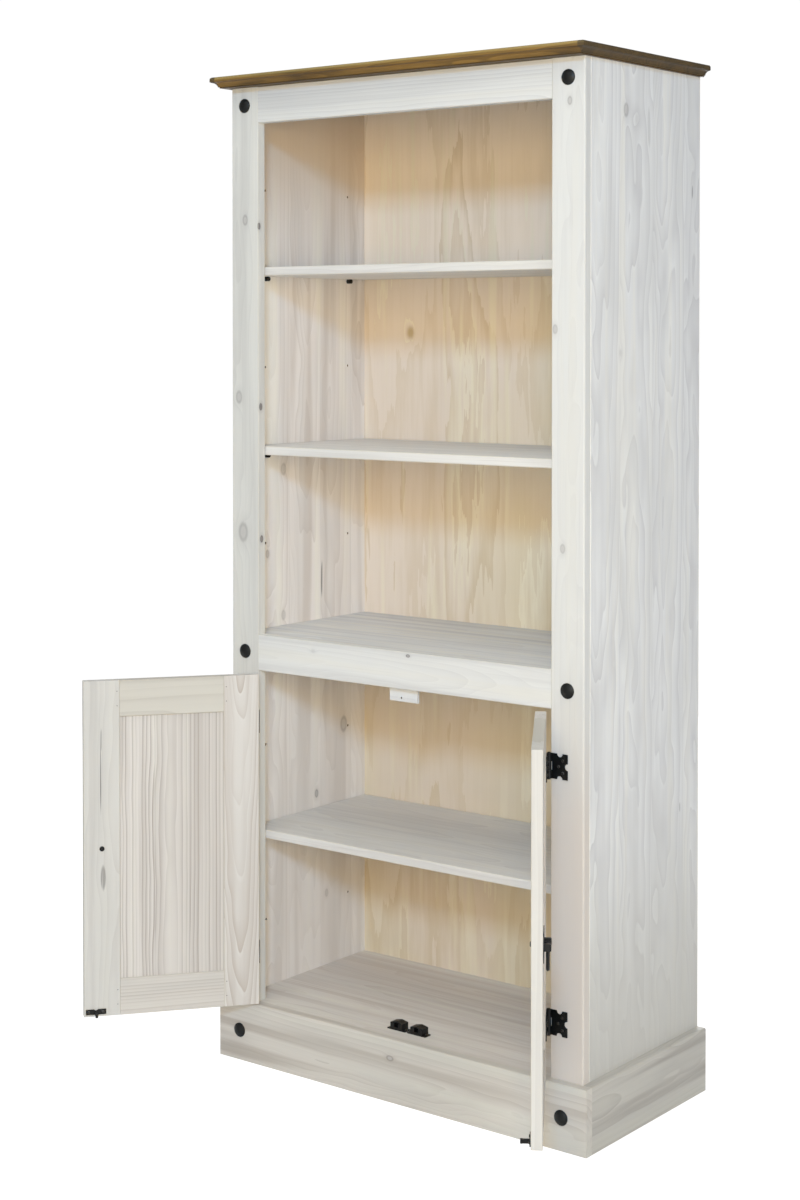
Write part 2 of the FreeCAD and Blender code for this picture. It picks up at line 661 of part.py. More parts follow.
def catch_screw_seats():
    """Seats of the left catch's two screws, on its flange."""
    depth = CATCH_FRONT + CATCH_FLANGE_DEPTH / 2
    top = PLINTH_HEIGHT + CATCH_FLANGE_THICKNESS
    return [(STRIKE_X + dx, depth, top) for dx in (-CATCH_SCREW_SPREAD, CATCH_SCREW_SPREAD)]


def catch_screws():
    return both_sides([small_screw(seat, -Z_AXIS) for seat in catch_screw_seats()])


def catch_screw_holes():
    return both_sides([small_screw_hole(seat, -Z_AXIS) for seat in catch_screw_seats()])


def snap_catch():
    """The left catch: a screwed flange and a gabled body with a slot and cavity for the spear."""
    half = CATCH_BODY_WIDTH / 2
    floor = PLINTH_HEIGHT
    back = CATCH_FRONT + CATCH_BODY_DEPTH
    outline = [
        (-half, floor),
        (half, floor),
        (half, floor + CATCH_EAVES),
        (0, floor + CATCH_RIDGE),
        (-half, floor + CATCH_EAVES),
        (-half, floor),
    ]
    points = [FreeCAD.Vector(STRIKE_X + x, CATCH_FRONT, z) for x, z in outline]
    body = Part.Face(Part.makePolygon(points)).extrude(Y_AXIS * CATCH_BODY_DEPTH)
    flange_half = CATCH_FLANGE_WIDTH / 2
    flange = box(STRIKE_X - flange_half, STRIKE_X + flange_half,
                 CATCH_FRONT, CATCH_FRONT + CATCH_FLANGE_DEPTH,
                 floor, floor + CATCH_FLANGE_THICKNESS)
    slot_low = SPEAR_LEVEL - SPEAR_HEIGHT / 2 - CATCH_SLOT_END_ROOM
    slot_high = SPEAR_LEVEL + SPEAR_HEIGHT / 2 + CATCH_SLOT_END_ROOM
    slot_half = SPEAR_BULB_R + CATCH_SLOT_SIDE_ROOM
    cavity_half = SPEAR_BULB_R + CATCH_CAVITY_SIDE_ROOM
    slot_end = back - CATCH_BACK_WALL
    lip_end = CATCH_FRONT + CATCH_LIP_DEPTH
    slot = box(STRIKE_X - slot_half, STRIKE_X + slot_half, CATCH_FRONT, slot_end, slot_low, slot_high)
    cavity = box(STRIKE_X - cavity_half, STRIKE_X + cavity_half, lip_end, slot_end, slot_low, slot_high)
    return body.fuse(flange).removeSplitter().cut([slot, cavity] + catch_screw_holes())


def leaf_screw_seats(level, side):
    """Screw places on one hinge leaf; side is -1 on the stile and 1 on the door."""
    near = HINGE_X + side * LEAF_NEAR_SCREW
    far = HINGE_X + side * LEAF_FAR_SCREW
    spots = [(near, level), (far, level - LEAF_SCREW_RISE), (far, level + LEAF_SCREW_RISE)]
    return [(x, -LEAF_THICKNESS, z) for x, z in spots]


def leaf_screws(side):
    screws = []
    for level in HINGE_LEVELS:
        for seat in leaf_screw_seats(level, side):
            screws.append(small_screw(seat, Y_AXIS))
    return screws


def leaf_screw_holes(side):
    holes = []
    for level in HINGE_LEVELS:
        holes += [small_screw_hole(seat, Y_AXIS) for seat in leaf_screw_seats(level, side)]
    return holes


def knuckle_spans(level):
    """The three knuckles of a hinge, bottom to top, with a gap between neighbours."""
    length = (HINGE_HEIGHT - 2 * KNUCKLE_GAP) / 3
    starts = [level - HINGE_HEIGHT / 2 + i * (length + KNUCKLE_GAP) for i in range(3)]
    return [(start, start + length) for start in starts]


def hinge_leaf(level, side):
    """A notched leaf on the front face, rolled into knuckles round the pin."""
    low = level - HINGE_HEIGHT / 2
    high = level + HINGE_HEIGHT / 2
    edge = HINGE_X + side * LEAF_WIDTH
    leaf = box(HINGE_X, edge, -LEAF_THICKNESS, 0, low, high)
    notch_x = HINGE_X + side * (LEAF_WIDTH + KNUCKLE_R) / 2
    notches = [(notch_x, low), (notch_x, high), (edge, level)]
    cuts = [rod(LEAF_NOTCH_R, LEAF_THICKNESS, (x, -LEAF_THICKNESS, z), Y_AXIS) for x, z in notches]
    spans = knuckle_spans(level)
    own = [spans[0], spans[2]] if side < 0 else [spans[1]]
    other = [span for span in spans if span not in own]
    barrels = []
    for start, end in own:
        barrels.append(rod(KNUCKLE_R, end - start, (HINGE_X, HINGE_Y, start), Z_AXIS))
    for start, end in other:
        relief_r = KNUCKLE_R + KNUCKLE_RELIEF
        length = end - start + 2 * KNUCKLE_GAP
        cuts.append(rod(relief_r, length, (HINGE_X, HINGE_Y, start - KNUCKLE_GAP), Z_AXIS))
        cuts.append(box(HINGE_X, HINGE_X + side * relief_r, -LEAF_THICKNESS, 0,
                        start - KNUCKLE_GAP, end + KNUCKLE_GAP))
    leaf = leaf.cut(cuts).fuse(barrels)
    bore = rod(HINGE_PIN_R + FIT_CLEARANCE, HINGE_HEIGHT, (HINGE_X, HINGE_Y, low), Z_AXIS)
    return leaf.cut([bore] + leaf_screw_holes(side)).removeSplitter()


def hinge_pin(level):
    """A pin with a flat head above and below the knuckles."""
    low = level - HINGE_HEIGHT / 2
    shank = rod(HINGE_PIN_R, HINGE_HEIGHT, (HINGE_X, HINGE_Y, low), Z_AXIS)
    head_low = rod(HINGE_PIN_HEAD_R, HINGE_PIN_HEAD, (HINGE_X, HINGE_Y, low - HINGE_PIN_HEAD), Z_AXIS)
    head_high = rod(HINGE_PIN_HEAD_R, HINGE_PIN_HEAD, (HINGE_X, HINGE_Y, low + HINGE_HEIGHT), Z_AXIS)
    return shank.fuse([head_low, head_high]).removeSplitter()


def pull_bolt_hole(radius):
    length = DOOR_THICKNESS + PULL_PLATE_THICKNESS + PULL_BOSS_REACH / 2
    return rod(radius, length, (PULL_X, DOOR_THICKNESS, DOOR_MIDDLE), -Y_AXIS)


def pull_bolt():
    """The bolt that holds a pull, with its domed head on the inside of the door."""
    length = DOOR_THICKNESS + PULL_PLATE_THICKNESS + PULL_BOSS_REACH / 2
    seat = (PULL_X, DOOR_THICKNESS, DOOR_MIDDLE)
    return headed(PULL_BOLT_R, length, PULL_BOLT_HEAD_R, PULL_BOLT_HEAD, seat, -Y_AXIS)


def pull_pivot_y():
    return -PULL_PLATE_THICKNESS - PULL_AXIS_REACH


def pull_plate():
    """A notched plate with two ears for the bail and a boss for the bolt."""
    half = PULL_PLATE / 2
    face = -PULL_PLATE_THICKNESS
    plate = box(PULL_X - half, PULL_X + half, face, 0, DOOR_MIDDLE - half, DOOR_MIDDLE + half)
    notches = [(half, 0), (-half, 0), (0, half), (0, -half)]
    cuts = []
    for x, z in notches:
        cuts.append(rod(PULL_NOTCH_R, PULL_PLATE_THICKNESS, (PULL_X + x, face, DOOR_MIDDLE + z), Y_AXIS))
    plate = plate.cut(cuts)
    added = [rod(PULL_BOSS_R, PULL_BOSS_REACH, (PULL_X, face, DOOR_MIDDLE), -Y_AXIS)]
    sockets = []
    front = face - PULL_EAR_REACH
    rise = PULL_EAR_HEIGHT / 2
    for side in (-1, 1):
        middle = PULL_X + side * PULL_EAR_CENTRE
        inner = middle - side * PULL_EAR_WIDTH / 2
        outer = middle + side * PULL_EAR_WIDTH / 2
        ear = box(inner, outer, front, face, DOOR_MIDDLE - rise, DOOR_MIDDLE + rise)
        corners = [(("y", front), ("z", DOOR_MIDDLE - rise)), (("y", front), ("z", DOOR_MIDDLE + rise))]
        added.append(eased(ear, PULL_EAR_ROUND, X_AXIS, *corners))
        socket_length = PULL_PIVOT_DEPTH + FIT_CLEARANCE
        sockets.append(rod(PULL_PIVOT_R + FIT_CLEARANCE, socket_length,
                           (inner, pull_pivot_y(), DOOR_MIDDLE), X_AXIS * side))
    sockets.append(pull_bolt_hole(PULL_BOLT_R + FIT_CLEARANCE))
    return plate.fuse(added).removeSplitter().cut(sockets)


def pull_bail():
    """A stirrup bent from round bar: two arms, a half-round bow, and pivots into the ears."""
    y = pull_pivot_y()
    foot = DOOR_MIDDLE - PULL_ARM_LENGTH
    left_foot = FreeCAD.Vector(PULL_X - PULL_ARM_CENTRE, y, foot)
    right_foot = FreeCAD.Vector(PULL_X + PULL_ARM_CENTRE, y, foot)
    lowest = FreeCAD.Vector(PULL_X, y, foot - PULL_ARM_CENTRE)
    left_top = FreeCAD.Vector(left_foot.x, y, DOOR_MIDDLE)
    right_top = FreeCAD.Vector(right_foot.x, y, DOOR_MIDDLE)
    path = Part.Wire([
        Part.makeLine(left_top, left_foot),
        Part.Arc(left_foot, lowest, right_foot).toShape(),
        Part.makeLine(right_foot, right_top),
    ])
    section = Part.Wire(Part.makeCircle(PULL_ROD_R, left_top, -Z_AXIS))
    bail = path.makePipeShell([section], True, False)
    pivot_reach = PULL_EAR_CENTRE - PULL_EAR_WIDTH / 2 + PULL_PIVOT_DEPTH - FIT_CLEARANCE - PULL_ARM_CENTRE
    extras = []
    for side, top in ((-1, left_top), (1, right_top)):
        extras.append(Part.makeSphere(PULL_ROD_R, top))
        extras.append(rod(PULL_PIVOT_R, pivot_reach, tuple(top), X_AXIS * side))
    return bail.fuse(extras).removeSplitter()


def strike_screw_seats():
    y = DOOR_THICKNESS + STRIKE_THICKNESS
    return [(STRIKE_X + dx, y, STRIKE_LEVEL) for dx in (-STRIKE_SCREW_SPREAD, STRIKE_SCREW_SPREAD)]


def strike_screws():
    return [small_screw(seat, -Y_AXIS) for seat in strike_screw_seats()]


def strike_screw_holes():
    return [small_screw_hole(seat, -Y_AXIS) for seat in strike_screw_seats()]


def spear_strike():
    """A notched plate on the inside of the door with an upright spear blade that snaps into the catch."""
    half = STRIKE_WIDTH / 2
    face = DOOR_THICKNESS + STRIKE_THICKNESS
    low = STRIKE_LEVEL - STRIKE_HEIGHT / 2
    high = low + STRIKE_HEIGHT
    notch_half = STRIKE_NOTCH_WIDTH / 2
    outline = [
        (-half, low),
        (half, low),
        (half, high),
        (notch_half, high),
        (0, high - STRIKE_NOTCH_DEPTH),
        (-notch_half, high),
        (-half, high),
        (-half, low),
    ]
    points = [FreeCAD.Vector(STRIKE_X + x, DOOR_THICKNESS, z) for x, z in outline]
    plate = Part.Face(Part.makePolygon(points)).extrude(Y_AXIS * STRIKE_THICKNESS)
    bulb_y = face + SPEAR_REACH - SPEAR_BULB_R
    neck_half = SPEAR_NECK_THICKNESS / 2
    blade_low = SPEAR_LEVEL - SPEAR_HEIGHT / 2
    neck = box(STRIKE_X - neck_half, STRIKE_X + neck_half, DOOR_THICKNESS, bulb_y,
               blade_low, blade_low + SPEAR_HEIGHT)
    bulb = rod(SPEAR_BULB_R, SPEAR_HEIGHT, (STRIKE_X, bulb_y, blade_low), Z_AXIS)
    return plate.fuse([neck, bulb]).removeSplitter().cut(strike_screw_holes())


def joint_pin_seats():
    """Pins through the corner joints of the closed left door, driven from inside."""
    hinge_side = DOOR_HINGE_EDGE + DOOR_STILE_WIDTH - JOINT_PIN_INSET
    free_side = DOOR_FREE_EDGE - DOOR_STILE_WIDTH + JOINT_PIN_INSET
    seats = []
    for x in (hinge_side, free_side):
        for level in (DOOR_BOTTOM + DOOR_RAIL_WIDTH / 2, DOOR_TOP - DOOR_RAIL_WIDTH / 2):
            for rise in (-JOINT_PIN_PITCH / 2, JOINT_PIN_PITCH / 2):
                seats.append((x, DOOR_THICKNESS, level + rise))
    return seats


def door_joint_pins():
    return [rod(JOINT_PIN_R, JOINT_PIN_LENGTH, seat, -Y_AXIS) for seat in joint_pin_seats()]


def joint_pin_holes():
    return [headed_hole(JOINT_PIN_R, JOINT_PIN_LENGTH, seat, -Y_AXIS) for seat in joint_pin_seats()]


def groove_span():
    """Front and back of the panel groove in the door's thickness."""
    width = DOOR_PANEL_THICKNESS + DOOR_GROOVE_CLEARANCE
    front = (DOOR_THICKNESS - width) / 2
    return front, front + width


def door_stile(outer, inner):
    """A door stile, rounded along its outer edge, bevelled and grooved along its inner edge."""
    groove_front, groove_back = groove_span()
    deep = inner + DOOR_GROOVE_DEPTH * (1 if outer > inner else -1)
    stile = box(outer, inner, 0, DOOR_THICKNESS, DOOR_BOTTOM, DOOR_TOP)
    edges = [(("x", outer), ("y", 0)), (("x", outer), ("y", DOOR_THICKNESS))]
    stile = eased(stile, DOOR_EDGE_ROUND, Z_AXIS, *edges)
    edges = [(("x", inner), ("y", 0)), (("x", inner), ("y", DOOR_THICKNESS))]
    stile = bevelled(stile, DOOR_MOULD_CHAMFER, Z_AXIS, *edges)
    return stile.cut(box(inner, deep, groove_front, groove_back, DOOR_BOTTOM, DOOR_TOP))


def door_rail(outer, inner):
    """A door rail between its outer and inner edge, with stub tenons that fill the stiles' grooves."""
    groove_front, groove_back = groove_span()
    tenon_front = groove_front + DOOR_GROOVE_CLEARANCE / 2
    tenon_back = groove_back - DOOR_GROOVE_CLEARANCE / 2
    left = DOOR_HINGE_EDGE + DOOR_STILE_WIDTH
    right = DOOR_FREE_EDGE - DOOR_STILE_WIDTH
    tenon = DOOR_GROOVE_DEPTH - DOOR_GROOVE_CLEARANCE
    deep = inner + DOOR_GROOVE_DEPTH * (1 if outer > inner else -1)
    rail = box(left, right, 0, DOOR_THICKNESS, outer, inner)
    edges = [(("y", 0), ("z", inner)), (("y", DOOR_THICKNESS), ("z", inner))]
    rail = bevelled(rail, DOOR_MOULD_CHAMFER, X_AXIS, *edges)
    rail = rail.fuse(box(left - tenon, right + tenon, tenon_front, tenon_back, outer, inner)).removeSplitter()
    return rail.cut(box(left - tenon, right + tenon, groove_front, groove_back, inner, deep))


def door_panel():
    """The flat panel, loose in the grooves so that it can swell."""
    reach = DOOR_GROOVE_DEPTH - DOOR_PANEL_ROOM
    groove_front, _ = groove_span()
    front = groove_front + DOOR_GROOVE_CLEARANCE / 2
    left = DOOR_HINGE_EDGE + DOOR_STILE_WIDTH - reach
    right = DOOR_FREE_EDGE - DOOR_STILE_WIDTH + reach
    low = DOOR_BOTTOM + DOOR_RAIL_WIDTH - reach
    high = DOOR_TOP - DOOR_RAIL_WIDTH + reach
    return box(left, right, front, front + DOOR_PANEL_THICKNESS, low, high)


def closed_left_door():
    """Every piece that swings with the left door, drawn closed."""
    holes = leaf_screw_holes(1) + strike_screw_holes() + joint_pin_holes()
    holes.append(pull_bolt_hole(PULL_BOLT_R + FIT_CLEARANCE))
    hinge_inner = DOOR_HINGE_EDGE + DOOR_STILE_WIDTH
    free_inner = DOOR_FREE_EDGE - DOOR_STILE_WIDTH
    return {
        "hinge_stile": door_stile(DOOR_HINGE_EDGE, hinge_inner).cut(holes),
        "free_stile": door_stile(DOOR_FREE_EDGE, free_inner).cut(holes),
        "top_rail": door_rail(DOOR_TOP, DOOR_TOP - DOOR_RAIL_WIDTH).cut(holes),
        "bottom_rail": door_rail(DOOR_BOTTOM, DOOR_BOTTOM + DOOR_RAIL_WIDTH).cut(holes),
        "panel": door_panel(),
        "joint_pins": Part.Compound(door_joint_pins()),
        "hinge_leaves": Part.Compound([hinge_leaf(level, 1) for level in HINGE_LEVELS]),
        "hinge_screws": Part.Compound(leaf_screws(1)),
        "spear_strike": spear_strike(),
        "strike_screws": Part.Compound(strike_screws()),
        "pull_plate": pull_plate(),
        "pull_bolt": pull_bolt(),
        "pull_bail": pull_bail(),
    }


def swung(shape, side):
    """Mirror a left door piece for the right door where side is 1, and swing it open."""
    angle = -LEFT_DOOR_OPEN if side < 0 else RIGHT_DOOR_OPEN
    piece = shape.copy() if side < 0 else mirrored(shape)
    piece.rotate(FreeCAD.Vector(side * abs(HINGE_X), HINGE_Y, 0), Z_AXIS, angle)
    return piece


def case_pieces():
    """Every piece that stays with the case."""
    drilled = dowel_holes() + nail_holes() + plinth_screw_holes() + stud_holes()
    drilled += stop_screw_holes() + catch_screw_holes() + both_sides(leaf_screw_holes(-1))
    right_side = side_panel()
    right_stile = front_stile()
    right_board = plinth_side_board()
    left_leaves = [hinge_leaf(level, -1) for level in HINGE_LEVELS]
    left_pins = [hinge_pin(level) for level in HINGE_LEVELS]
    boards = {
        "top_board": top_board(),
        "left_side_panel": mirrored(right_side),
        "right_side_panel": right_side,
        "left_front_stile": mirrored(right_stile),
        "right_front_stile": right_stile,
        "top_rail": face_rail(TOP_RAIL_BOTTOM, CASE_TOP),
        "middle_rail": face_rail(MIDDLE_RAIL_BOTTOM, SHELF_TOP_HEIGHT),
        "middle_shelf": middle_shelf(),
        "bottom_panel": bottom_panel(),
        "back_panel": back_panel(),
        "plinth_front_board": plinth_front_board(),
        "plinth_left_board": mirrored(right_board),
        "plinth_right_board": right_board,
        "plinth_rear_rail": plinth_rear_rail(),
        "door_stop_block": door_stop_block(),
    }
    pieces = {name: board.cut(drilled) for name, board in boards.items()}
    pieces["shelf_pegs"] = Part.Compound(shelf_pegs())
    pieces["domed_studs"] = Part.Compound(studs())
    pieces["left_case_hinge_leaves"] = Part.Compound(left_leaves)
    pieces["right_case_hinge_leaves"] = Part.Compound([mirrored(leaf) for leaf in left_leaves])
    pieces["left_hinge_pins"] = Part.Compound(left_pins)
    pieces["right_hinge_pins"] = Part.Compound([mirrored(pin) for pin in left_pins])
    pieces["case_hinge_screws"] = Part.Compound(both_sides(leaf_screws(-1)))
    pieces["left_catch"] = snap_catch()
    pieces["right_catch"] = mirrored(snap_catch())
    pieces["catch_screws"] = Part.Compound(catch_screws())
    pieces["door_stop_screws"] = Part.Compound(door_stop_screws())
    pieces["case_dowels"] = Part.Compound(case_dowels())
    pieces["plinth_screws"] = Part.Compound(plinth_screws())
    pieces["back_panel_nails"] = Part.Compound(back_panel_nails())
    return pieces


def main():
    os.makedirs("parts", exist_ok=True)
    pieces = case_pieces()
    pieces["upper_shelf"] = loose_shelf(UPPER_SHELF_LEVEL)
    pieces["centre_shelf"] = loose_shelf(CENTRE_SHELF_LEVEL)
    pieces["cupboard_shelf"] = loose_shelf(CUPBOARD_SHELF_LEVEL)
    door = closed_left_door()
    for name, shape in door.items():
        pieces["left_door_" + name] = swung(shape, -1)
        pieces["right_door_" + name] = swung(shape, 1)
    for name, shape in pieces.items():
        shape.exportStep("parts/" + name + ".step")


main()
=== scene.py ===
"""Looks of a tall washed-pine bookcase with a two-door cupboard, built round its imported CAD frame."""
import json
import math

import bpy
import numpy as np
from mathutils import Matrix, Vector

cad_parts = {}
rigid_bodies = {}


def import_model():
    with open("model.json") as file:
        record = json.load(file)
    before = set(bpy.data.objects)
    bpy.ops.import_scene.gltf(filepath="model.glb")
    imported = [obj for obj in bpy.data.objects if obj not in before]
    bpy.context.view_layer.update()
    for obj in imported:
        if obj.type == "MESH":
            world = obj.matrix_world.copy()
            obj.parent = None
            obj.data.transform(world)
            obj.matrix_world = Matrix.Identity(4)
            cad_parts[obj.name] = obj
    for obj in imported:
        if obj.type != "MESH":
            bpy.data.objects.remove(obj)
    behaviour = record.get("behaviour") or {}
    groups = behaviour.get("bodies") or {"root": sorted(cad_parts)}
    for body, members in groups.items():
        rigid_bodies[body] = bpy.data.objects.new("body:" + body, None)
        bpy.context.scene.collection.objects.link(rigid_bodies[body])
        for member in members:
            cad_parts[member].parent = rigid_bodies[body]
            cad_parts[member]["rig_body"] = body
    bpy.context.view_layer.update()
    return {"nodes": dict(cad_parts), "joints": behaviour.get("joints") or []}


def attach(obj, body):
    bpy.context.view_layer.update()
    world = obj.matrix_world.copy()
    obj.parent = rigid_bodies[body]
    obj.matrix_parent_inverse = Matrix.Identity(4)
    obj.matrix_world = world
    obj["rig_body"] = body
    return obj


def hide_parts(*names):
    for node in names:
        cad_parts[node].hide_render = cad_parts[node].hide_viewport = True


bl_info = {
    "name": "Two-door pine bookcase",
    "version": (1, 0, 0),
    "blender": (4, 5, 0),
    "location": "View3D > Sidebar > Bookcase",
    "description": "Finishes and fine detail of a washed-pine bookcase with a cupboard",
    "category": "Object",
}

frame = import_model()

AXES = {"x": Vector((1, 0, 0)), "y": Vector((0, 1, 0)), "z": Vector((0, 0, 1))}
MM = 0.001


def srgb(red, green, blue):
    """A screen colour from 0 to 255 as the linear colour that nodes use."""
    parts = [c / 255 for c in (red, green, blue)]
    return tuple(c / 12.92 if c < 0.04045 else ((c + 0.055) / 1.055) ** 2.4 for c in parts)


class Wire:
    """A shader socket that takes part in Python expressions, each of which adds its Math node."""

    def __init__(self, tree, socket):
        self.tree = tree
        self.socket = socket

    def plug(self, socket, value):
        """Links a wire into a socket, or sets a plain value on it."""
        if isinstance(value, Wire):
            self.tree.links.new(value.socket, socket)
        elif socket.type == "RGBA":
            socket.default_value = (*value[:3], 1.0)
        else:
            socket.default_value = value

    def node(self, kind, settings=None, values=None, out=0):
        """Adds a node of a type, with its settings made first, then its socket values or links."""
        made = self.tree.nodes.new(kind)
        for name, setting in (settings or {}).items():
            if name == "stops":
                fill_ramp(made.color_ramp, setting)
            else:
                setattr(made, name, setting)
        for key, value in (values or {}).items():
            self.plug(made.inputs[key], value)
        return Wire(self.tree, made.outputs[out])

    def math(self, operation, *others):
        """A Math node with this wire first."""
        values = dict(enumerate((self, *others)))
        return self.node("ShaderNodeMath", {"operation": operation}, values)

    def __add__(self, other):
        return self.math("ADD", other)

    __radd__ = __add__

    def __sub__(self, other):
        return self.math("SUBTRACT", other)

    def __rsub__(self, other):
        return self.node("ShaderNodeMath", {"operation": "SUBTRACT"}, {0: other, 1: self})

    def __mul__(self, other):
        return self.math("MULTIPLY", other)

    __rmul__ = __mul__

    def __truediv__(self, other):
        return self.math("DIVIDE", other)

    def __pow__(self, other):
        return self.math("POWER", other)

    def parts(self):
        """The three parts of a vector wire."""
        split = self.tree.nodes.new("ShaderNodeSeparateXYZ")
        self.plug(split.inputs[0], self)
        return [Wire(self.tree, end) for end in split.outputs]

    def smooth(self, low, high):
        """0 below low, 1 above high, and an S curve between."""
        values = {"Value": self, "From Min": low, "From Max": high}
        return self.node("ShaderNodeMapRange", {"interpolation_type": "SMOOTHSTEP"}, values)

    def noise(self, scale, shift, detail=2.0, rough=0.5):
        """Soft noise read at this place times scale, moved by shift, so that seeds differ."""
        where = self.node(
            "ShaderNodeVectorMath",
            {"operation": "MULTIPLY_ADD"},
            {0: self, 1: scale, 2: (shift, shift * 0.61, shift * 0.37)},
        )
        values = {"Vector": where, "Scale": 1.0, "Detail": detail, "Roughness": rough}
        return self.node("ShaderNodeTexNoise", None, values)

    def chance(self, seed, out="Value"):
        """A fixed random number for each whole number on this wire."""
        return self.node("ShaderNodeTexWhiteNoise", {"noise_dimensions": "1D"}, {"W": self + seed}, out)

    def tint(self, first, second):
        """The first colour where this wire is 0, the second where it is 1."""
        settings = {"data_type": "RGBA", "clamp_factor": True}
        return self.node("ShaderNodeMix", settings, {0: self, 6: first, 7: second}, 2)


def fill_ramp(ramp, stops):
    """Sets a colour ramp's stops from pairs of place and grey value."""
    while len(ramp.elements) < len(stops):
        ramp.elements.new(1.0)
    for element, (place, grey) in zip(ramp.elements, stops):
        element.position = place
        element.color = (grey, grey, grey, 1.0)


class Finish:
    """A new material with its shader, and the wire of its Object coordinates."""

    def __init__(self, name):
        self.material = bpy.data.materials.new(name)
        self.material.use_nodes = True
        self.tree = self.material.node_tree
        self.shader = self.tree.nodes["Principled BSDF"]
        coordinates = self.tree.nodes.new("ShaderNodeTexCoord")
        self.place = Wire(self.tree, coordinates.outputs["Object"])

    def space(self, origin, turn):
        """Object coordinates measured in mm from an origin, along the columns of a turn."""
        values = {
            "Vector": self.place,
            "Location": origin,
            "Rotation": turn.to_euler(),
            "Scale": (MM, MM, MM),
        }
        return self.place.node("ShaderNodeMapping", {"vector_type": "TEXTURE"}, values)

    def set(self, **values):
        """Sets the shader's sockets, with a space in a socket's name written as an underscore."""
        for name, value in values.items():
            self.place.plug(self.shader.inputs[name.replace("_", " ")], value)

    def bump(self, height, strength, depth_mm):
        """Turns a height wire into the shader's Normal."""
        values = {"Height": height, "Strength": strength, "Distance": depth_mm * MM}
        self.set(Normal=self.place.node("ShaderNodeBump", None, values))


def closing(body):
    """The turn and hinge point that close a door from its rest pose, and no turn for other bodies."""
    for joint in frame["joints"]:
        if joint["child"] == body and joint["type"] == "hinge":
            angle = math.radians(joint["range_deg"][0])
            return Matrix.Rotation(angle, 3, Vector(joint["axis"])), Vector(joint["pos_m"])
    return Matrix.Identity(3), Vector()


def node_points(name):
    """A CAD node's vertices as one array of metres."""
    mesh = frame["nodes"][name].data
    points = np.empty(len(mesh.vertices) * 3, np.float32)
    mesh.vertices.foreach_get("co", points)
    return points.reshape(-1, 3)


class Board:
    """A board's own space: u along the grain, v across the face and w through it, in mm.

    A door's boards are turned to the closed pose first, so their axes are the door's own."""

    def __init__(self, name, grain, face):
        turn, hinge = closing(frame["nodes"][name]["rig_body"])
        shut = (node_points(name) - np.array(hinge)) @ np.array(turn).T + np.array(hinge)
        low, high = shut.min(0), shut.max(0)
        self.along = AXES[grain]
        self.through = AXES[face]
        self.across = self.through.cross(self.along)
        axes = Matrix((self.along, self.across, self.through)).transposed()
        self.centre = Vector((low + high) / 2)
        self.half = np.abs(np.array(axes.transposed()) @ ((high - low) / 2)) / MM
        back = turn.transposed()
        self.origin = back @ (self.centre - hinge) + hinge
        self.turn = back @ axes

    def u(self, along_mm):
        """Board u of a CAD coordinate along the grain."""
        return along_mm - self.along.dot(self.centre) / MM

    def v(self, across_mm):
        """Board v of a CAD coordinate across the grain."""
        sign = sum(self.across)
        return sign * across_mm - self.across.dot(self.centre) / MM

    def w(self, through_mm):
        """Board w of a CAD coordinate through the thickness."""
        return through_mm - self.through.dot(self.centre) / MM


def wear(name, material):
    """Gives a CAD node its finish through its object's material slots."""
    piece = frame["nodes"][name]
    if not piece.material_slots:
        piece.data.materials.append(material)
    for place in piece.material_slots:
        place.material = material


def scaled(colour, *factors):
    """A colour with its parts multiplied by one factor or three."""
    parts = factors if len(factors) == 3 else factors * 3
    return tuple(c * f for c, f in zip(colour, parts))


DRIFT_SCALE = (0.0042, 0.015, 0.015)
FIBRE_SCALE = (0.005, 0.30, 0.30)
CLOUD_SCALE = (0.0035, 0.022, 0.022)
BAND_STRETCH = 0.0012
LATE_STOPS = ((0.0, 0.0), (0.06, 0.04), (0.14, 0.22), (0.5, 0.36), (0.86, 0.78), (0.96, 1.0), (1.0, 0.0))
JOINT_WIDTH = 0.9
KNOT_SQUEEZE = 0.62
KNOT_FALL = -0.22
KNOT_SWELL = 1.5
EDGE_KNOT_FROM, EDGE_KNOT_TO = 4.5, 1.0
OUT_OF_REACH = 20.0


